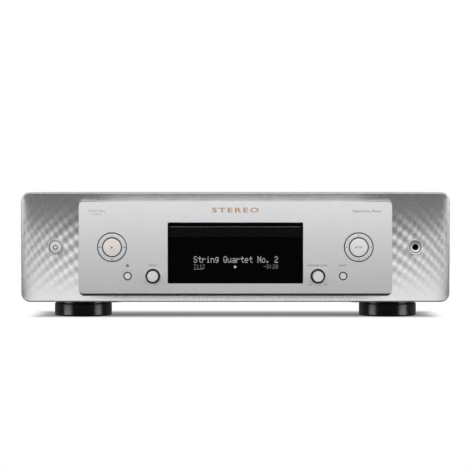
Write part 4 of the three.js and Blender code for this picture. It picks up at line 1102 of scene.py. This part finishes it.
# What stands on each board, from its low corner.
# Blocks are (x, y, width, depth, height) and cans are (x, y, r, height).
BOARDS = {
    "power_board": {
        "sinks": [(105, 58, 6, 80, 34)],
        "relays": [(20, 98, 22, 16, 18), (20, 48, 24, 20, 16)],
        "headers": [(60, 16, 30, 8, 10)],
        "cans": [(60, 58, 12.5, 34), (60, 90, 12.5, 34)] + [(88, 30 + i * 22, 6, 20) for i in range(3)],
    },
    "main_board": {
        "chips": [(56, 70, 24, 24, 2.4), (102, 70, 16, 16, 2)]
        + [(26, 110, 14, 10, 1.8), (106, 130, 18, 12, 1.8)],
        "headers": [(62, 10, 60, 6, 7)],
        "cans": [(18 + i * 12, 40, 4, 9) for i in range(4)] + [(132, 40 + i * 16, 4, 9) for i in range(3)],
    },
    "audio_board": {
        "relays": [(54, 250, 18, 14, 9), (82, 250, 18, 14, 9)],
        "chips": [(54, 160, 14, 14, 1.8)],
        "headers": [(54, 50, 40, 8, 7)],
        "cans": [(x, 90 + i * 34, 9, 24) for x in (24, 92) for i in range(4)]
        + [(42 + i * 12, 200, 4, 10) for i in range(4)],
    },
}


def block_box(bm, block, z0, z1, inset=0.0, bevel=0.3):
    x, y, w, d, _ = block
    w, d = w / 2 - inset, d / 2 - inset
    add_box(bm, x - w, x + w, y - d, y + d, z0, z1, bevel)


def add_chip(bodies, legs, block):
    """A flat chip with a moulded corner mark and a row of legs along each side."""
    x, y, w, d, h = block
    block_box(bodies, block, BOARD_TOP + 0.25, BOARD_TOP + h, inset=1.0, bevel=0.2)
    profile = [(0, h - 0.1), (0.7, h - 0.1), (0.7, h + 0.03), (0, h + 0.03)]
    add_lathe(bodies, profile, (x - w / 2 + 2.6, y - d / 2 + 2.6, BOARD_TOP), "up", 16)
    for size, turned in ((w, False), (d, True)):
        count = int((size - 3) / 1.6)
        for side in (-1, 1):
            for i in range(count):
                along = (i - (count - 1) / 2) * 1.6
                out = side * ((w if turned else d) / 2 - 0.55)
                cx, cy = (x + out, y + along) if turned else (x + along, y + out)
                a, b = (0.55, 0.3) if turned else (0.3, 0.55)
                add_box(legs, cx - a, cx + a, cy - b, cy + b, BOARD_TOP + 0.02, BOARD_TOP + 0.5, 0)


def add_can(sleeves, tops, x, y, r, h):
    """A capacitor: a sleeved can with its bare end and a rolled groove near the board."""
    profile = [(0, 0.1), (r - 0.3, 0.1), (r, 0.5), (r, 1.6), (r - 0.35, 2.1), (r, 2.6), (r, h - 0.7)]
    profile += [(r - 0.25, h - 0.25), (r - 0.7, h - 0.1), (r - 0.9, h - 0.3), (0, h - 0.3)]
    add_lathe(sleeves, profile, (x, y, BOARD_TOP), "up", 32)
    profile = [(0, h - 0.28), (r - 0.95, h - 0.28), (r - 0.95, h - 0.2), (0, h - 0.12)]
    add_lathe(tops, profile, (x, y, BOARD_TOP), "up", 32)
    for w, d in ((r * 0.55, 0.12), (0.12, r * 0.55)):
        add_box(sleeves, x - w, x + w, y - d, y + d, BOARD_TOP + h - 0.3, BOARD_TOP + h - 0.05, 0)


def add_sink(bm, block):
    """A finned heat sink standing along the board."""
    x, y, w, d, h = block
    add_box(bm, x - 1, x + 1, y - d / 2, y + d / 2, BOARD_TOP, BOARD_TOP + h, 0.3)
    fins = 16
    for i in range(fins):
        at = y + (i - (fins - 1) / 2) * (d - 3) / (fins - 1)
        add_box(bm, x - w / 2, x + w / 2, at - 0.6, at + 0.6, BOARD_TOP + 1, BOARD_TOP + h - 0.3, 0.2)


def add_header(bm, pins, block):
    """A plug housing with a slot along it and its pins inside."""
    x, y, w, d, h = block
    top = BOARD_TOP + h
    x0, x1, y0, y1 = x - w / 2, x + w / 2, y - d / 2, y + d / 2
    outer, inner = rounded(x0, x1, y0, y1, 0.4, 3), rounded(x0 + 1, x1 - 1, y0 + 1, y1 - 1, 0.3, 3)
    add_plate(bm, [outer, inner], BOARD_TOP + 1, top, plane="top", bevel=0.15)
    add_box(bm, x0 + 0.1, x1 - 0.1, y0 + 0.1, y1 - 0.1, BOARD_TOP, BOARD_TOP + 1.2, 0.1)
    count = int((w - 4) / 2.5)
    for i in range(count):
        cx = x + (i - (count - 1) / 2) * 2.5
        add_box(pins, cx - 0.3, cx + 0.3, y - 0.3, y + 0.3, BOARD_TOP + 1, top - 1, 0.1, 1)


def add_specks(bodies, ends, lo, hi, taken, rng):
    """Small surface parts scattered on a grid, clear of what already stands on the board."""
    pitch = 6.5
    for i in range(int((hi[0] - lo[0] - 8) / pitch)):
        for j in range(int((hi[1] - lo[1] - 8) / pitch)):
            x, y = lo[0] + 6 + i * pitch, lo[1] + 6 + j * pitch
            clear = all(abs(x - tx) > w + 3 or abs(y - ty) > d + 3 for tx, ty, w, d in taken)
            if rng.random() > 0.32 or not clear:
                continue
            w, d = (1.3, 0.7) if rng.random() < 0.5 else (0.7, 1.3)
            add_box(bodies, x - w, x + w, y - d, y + d, BOARD_TOP + 0.02, BOARD_TOP + 0.7, 0.1, 1)
            for side in (-1, 1):
                cx, cy = (x + side * w, y) if w > d else (x, y + side * d)
                x0, x1, y0, y1 = cx - 0.65, cx + 0.65, cy - 0.65, cy + 0.65
                add_box(ends, x0, x1, y0, y1, BOARD_TOP + 0.01, BOARD_TOP + 0.5, 0)


def circuit_board(node, parts):
    lo, hi = cad(node)
    x0, y0 = lo[:2]
    plain, dark, sleeve, white, tin = new(), new(), new(), new(), new()
    corners = [(x, y) for x in (lo[0] + 6, hi[0] - 6) for y in (lo[1] + 6, hi[1] - 6)]
    loops = [rounded(lo[0], hi[0], lo[1], hi[1], 1.5, 4)] + [circle(x, y, 1.7, 24) for x, y in corners]
    add_plate(plain, loops, BOARD_TOP - BOARD_THICK, BOARD_TOP, plane="top", bevel=0.12)
    for x, y in corners:
        spacer = [(0, lo[2]), (2.7, lo[2]), (3, lo[2] + 0.3), (3, 25.7), (2.7, 25.95), (0, 25.95)]
        add_lathe(tin, spacer, (x, y, 0), "up", 6)
        add_lathe(tin, [(0, 27.7), (2.6, 27.7), (2.6, 28.3), (1.8, 29.2), (0, 29.5)], (x, y, 0), "up", 24)
    here = {kind: [(x + x0, y + y0, *rest) for x, y, *rest in items] for kind, items in parts.items()}
    for block in here.get("chips", ()):
        add_chip(dark, tin, block)
    for block in here.get("relays", ()):
        block_box(dark, block, BOARD_TOP + 0.05, BOARD_TOP + block[4], bevel=0.8)
        block_box(dark, block, BOARD_TOP, BOARD_TOP + 1.2, inset=0.4, bevel=0.1)
    for block in here.get("sinks", ()):
        add_sink(tin, block)
    for block in here.get("headers", ()):
        add_header(white, tin, block)
    for can in here.get("cans", ()):
        add_can(sleeve, tin, *can)
    taken = [(x, y, 5, 5) for x, y in corners]
    taken += [(b[0], b[1], b[2] / 2, b[3] / 2) for kind in here if kind != "cans" for b in here[kind]]
    taken += [(x, y, r, r) for x, y, r, _ in here["cans"]]
    add_specks(dark, tin, lo, hi, taken, random.Random(node))
    piece(node + "_laminate", plain, BOARD, "case", "board_green", [node])
    piece(node + "_metalwork", tin, TIN, "case", "steel")
    piece(node + "_chips", dark, CHIP, "case", "black_plastic")
    piece(node + "_capacitors", sleeve, CAN, "case", "black_plastic")
    piece(node + "_headers", white, WHITE, "case", "white_plastic")


def transformer():
    """A ring of windings, with the ridges of its wire, under a dished clamping plate and its nut."""
    lo, hi = cad("power_transformer")
    x, y = (lo[0] + hi[0]) / 2, (lo[1] + hi[1]) / 2
    outer, top, r = (hi[0] - lo[0]) / 2, hi[2] - 3.2, 14.0
    profile = [(12, lo[2] + 3), (16, lo[2] + 0.4)]
    for centre_z, start in ((lo[2] + r, -90), (top - r, 0)):
        profile += arc(outer - r, centre_z, r, start, 90, 8)
    profile += [(19, top), (14, top - 2), (12, top - 6)]
    bm = new()
    turns = 180
    add_lathe(bm, profile, (0, 0, 0), "up", 2 * turns, closed=True)
    for vert in bm.verts:
        step = round(math.atan2(vert.co.y, vert.co.x) / math.pi * turns)
        if step % 2:
            vert.co.x *= 0.994
            vert.co.y *= 0.994
    bmesh.ops.translate(bm, verts=bm.verts, vec=(x * MM, y * MM, 0))
    piece("transformer_winding", bm, COPPER, "case", "winding", ["power_transformer"], smooth=60)
    bm = new()
    z = top + 0.1
    dish = [(0, z), (19, z), (20, z + 0.4), (20, z + 1.4), (19.4, z + 1.7), (14, z + 1.7), (11, z + 0.9)]
    add_lathe(bm, dish + [(0, z + 0.9)], (x, y, 0), "up")
    nut = [(0, z + 0.8), (5, z + 0.8), (5, z + 2.2), (4.6, z + 2.7), (0, z + 2.7)]
    add_lathe(bm, nut, (x, y, 0), "up", 6)
    stud = [(0, z + 2.5), (2.4, z + 2.5), (2.4, z + 2.9), (2.1, z + 3.1), (0, z + 3.1)]
    add_lathe(bm, stud, (x, y, 0), "up", 32)
    piece("transformer_clamp", bm, STEEL, "case", "steel")


for name, parts in BOARDS.items():
    circuit_board(name, parts)
transformer()

# The inner parts kept from the CAD, by finish.
LOOKS = (
    (STEEL, "bottom_chassis clamp_bridge loading_motor spindle_motor sled_motor"),
    (STEEL, "guide_rod_left guide_rod_right"),
    (GREY, "front_subframe transport_ring_carrier cursor_ring_carrier input_encoder level_potentiometer"),
    (GREY, "cam_slider traverse_chassis"),
    (BOARD, "left_key_board right_key_board"),
    (GLASS, "display_module"),
    (BLACK, "power_switch phones_jack loader_frame pickup_sled"),
    (WHITE, "disc_clamper tray_gear pulley_gear motor_pulley sled_gear sled_motor_pinion"),
    (RUBBER, "loading_belt"),
    (LENS, "lens_holder"),
)


def finish(node, mat):
    """Softens a CAD part's edges and gives it its finish."""
    soft = node.modifiers.new("soft_edges", "BEVEL")
    soft.limit_method = "ANGLE"
    soft.angle_limit = math.radians(40)
    soft.width = 0.2 * MM
    soft.segments = 2
    node.modifiers.new("weighted", "WEIGHTED_NORMAL").keep_sharp = True
    for i in range(len(node.material_slots)):
        node.material_slots[i].material = mat


for mat, names in LOOKS:
    for name in names.split():
        finish(NODES[name], mat)

# ---- floor, backdrop and light, in metres


def add_ramp(n, stops, source, out, lo=-1.0, hi=1.0):
    """A grey ramp over a value between lo and hi, with its stops given as (value, grey)."""
    span = n.add("ShaderNodeMapRange")
    span.inputs["From Min"].default_value = lo
    span.inputs["From Max"].default_value = hi
    ramp = n.add("ShaderNodeValToRGB")
    n.link(source, out, span, "Value")
    n.link(span, "Result", ramp, "Fac")
    while len(ramp.color_ramp.elements) < len(stops):
        ramp.color_ramp.elements.new(0.5)
    for element, (at, value) in zip(ramp.color_ramp.elements, stops):
        element.position = (at - lo) / (hi - lo)
        element.color = (value, value, value, 1)
    return ramp


# How much of the floor under the case is hidden by light, front to back and from the middle outwards.
UNDER_DEPTH = (
    (-0.238, 1.0), (-0.205, 0.8), (-0.188, 0.55), (-0.169, 0.20), (-0.149, 0.09), (-0.129, 0.135),
    (-0.109, 0.19), (-0.088, 0.31), (-0.068, 0.67), (-0.046, 0.95), (-0.03, 1.0),
)
UNDER_WIDTH = (
    (0.187, 0.10), (0.197, 0.23), (0.2024, 0.34), (0.2078, 0.466), (0.213, 0.62), (0.2237, 0.68),
    (0.24, 0.9), (0.26, 1.0),
)


def floor():
    """White board, a little darker far behind the case."""
    bm = new()
    bmesh.ops.create_grid(bm, x_segments=1, y_segments=1, size=1.5)
    mesh = bpy.data.meshes.new("floor")
    bm.to_mesh(mesh)
    bm.free()
    board = add_object("floor", mesh)
    mat, n, out = material("floor_white")
    bsdf = n.add("ShaderNodeBsdfPrincipled", Roughness=0.9, Specular_IOR_Level=0.0)
    n.link(bsdf, "BSDF", out, "Surface")
    coord = n.add("ShaderNodeTexCoord")
    split = n.add("ShaderNodeSeparateXYZ")
    n.link(coord, "Object", split, "Vector")
    tint = add_ramp(n, ((0.25, 0.92), (0.36, 0.62)), split, "Y", 0.0, 1.5)
    n.link(tint, "Color", bsdf, "Base Color")
    mesh.materials.append(mat)
    board.visible_glossy = False


def under_glow():
    """Light on the floor round the case that only the camera sees, darkest under the case."""
    mesh = bpy.data.meshes.new("under_glow")
    x, y, z = 0.6, 0.6, 0.0004
    mesh.from_pydata([(-x, -y, z), (x, -y, z), (x, y, z), (-x, y, z)], [], [(0, 1, 2, 3)])
    card = add_object("under_glow", mesh)
    mat, n, out = material("under_glow")
    mix = n.add("ShaderNodeMixShader")
    clear = n.add("ShaderNodeBsdfTransparent")
    white = n.add("ShaderNodeEmission", Strength=1.05)
    coord = n.add("ShaderNodeTexCoord")
    split = n.add("ShaderNodeSeparateXYZ")
    n.link(coord, "Object", split, "Vector")
    deep = add_ramp(n, UNDER_DEPTH, split, "Y", -0.24, 0.0)
    width = n.add("ShaderNodeMath", operation="ABSOLUTE")
    n.link(split, "X", width, 0)
    wide = add_ramp(n, UNDER_WIDTH, width, "Value", 0.18, 0.27)
    most = n.add("ShaderNodeMath", operation="MAXIMUM")
    n.link(deep, "Color", most, 0)
    n.link(wide, "Color", most, 1)
    reach = n.add("ShaderNodeVectorMath", operation="LENGTH")
    n.link(coord, "Object", reach, 0)
    fade = add_ramp(n, ((0.38, 1.0), (0.6, 0.0)), reach, "Value", 0.0, 0.6)
    total = n.add("ShaderNodeMath", operation="MULTIPLY")
    n.link(most, "Value", total, 0)
    n.link(fade, "Color", total, 1)
    n.link(total, "Value", mix, "Fac")
    n.link(clear, "BSDF", mix, 1)
    n.link(white, "Emission", mix, 2)
    n.link(mix, "Shader", out, "Surface")
    mesh.materials.append(mat)
    for ray in ("diffuse", "glossy", "transmission", "shadow"):
        setattr(card, "visible_" + ray, False)


def world():
    """White behind the case, and a dim room to reflect: darkest low in front, lighter at the sides."""
    made = bpy.data.worlds.new("studio")
    SCENE.world = made
    made.use_nodes = True
    n = Nodes(made.node_tree)
    out = n.add("ShaderNodeOutputWorld")
    mix = n.add("ShaderNodeMixShader")
    seen = n.add("ShaderNodeBackground", Strength=1.0)
    seen.inputs["Color"].default_value = (1.0, 1.0, 1.0, 1)
    light = n.add("ShaderNodeBackground", Strength=1.0)
    path = n.add("ShaderNodeLightPath")
    coord = n.add("ShaderNodeTexCoord")
    split = n.add("ShaderNodeSeparateXYZ")
    n.link(coord, "Generated", split, "Vector")
    front = add_ramp(n, ((-1.0, 0.15), (-0.15, 0.15), (0.05, 0.24), (0.5, 0.5), (1.0, 0.5)), split, "Z")
    side = add_ramp(
        n, ((-1.0, 0.3), (-0.15, 0.5), (0.0, 0.5), (0.12, 0.55), (0.4, 0.85), (1.0, 0.85)), split, "Z"
    )
    square = n.add("ShaderNodeMath", operation="MULTIPLY")
    n.link(split, "X", square, 0)
    n.link(split, "X", square, 1)
    room = n.add("ShaderNodeMix", data_type="RGBA")
    n.link(square, "Value", room, 0)
    n.link(front, "Color", room, COLOR_A)
    n.link(side, "Color", room, COLOR_B)
    n.link(room, COLOR_OUT, light, "Color")
    n.link(path, "Is Camera Ray", mix, "Fac")
    n.link(light, "Background", mix, 1)
    n.link(seen, "Background", mix, 2)
    n.link(mix, "Shader", out, "Surface")


def glow_card(name, corners, strength, sampling="NONE"):
    """An unseen glowing card that only the finishes reflect."""
    mesh = bpy.data.meshes.new(name)
    mesh.from_pydata(corners, [], [(0, 1, 2, 3)])
    card = add_object(name, mesh)
    mat, n, out = material(name)
    glow = n.add("ShaderNodeEmission", Strength=strength)
    n.link(glow, "Emission", out, "Surface")
    mat.cycles.emission_sampling = sampling
    mesh.materials.append(mat)
    for ray in ("camera", "diffuse", "shadow"):
        setattr(card, "visible_" + ray, False)
    return card


def overhead():
    """A large lamp that lights the scene without being reflected."""
    data = bpy.data.lights.new("overhead", "AREA")
    data.shape = "RECTANGLE"
    data.size, data.size_y = 6.0, 6.0
    data.energy = 330.0
    lamp = add_object("overhead", data)
    point(lamp, (0, -0.2, 3.0), (0, -0.19, 0))
    lamp.visible_camera = False
    lamp.visible_glossy = False


floor()
under_glow()
world()
feet = bpy.data.collections.new("feet")
for name in FEET:
    feet.objects.link(bpy.data.objects[name + "_turned"])
x, y, low, middle, high = 0.95, -0.70, 0.122, 0.27, 0.60
glow_card("front_card_low", [(-x, y, low), (x, y, low), (x, y, middle), (-x, y, middle)], 2.05)
glow_card("front_card_high", [(-x, y, middle), (x, y, middle), (x, y, high), (-x, y, high)], 0.95)
for side, word in ((-1, "left"), (1, "right")):
    z0, z1 = -0.35, -0.02
    inner, outer = (side * 1.35, -1.3), (side * 2.0, -0.55)
    corners = [(*inner, z0), (*outer, z0), (*outer, z1), (*inner, z1)]
    strip = glow_card("foot_strip_" + word, corners, 18.0, "FRONT_BACK")
    strip.light_linking.receiver_collection = feet
overhead()
SCENE.view_settings.view_transform = "Standard"
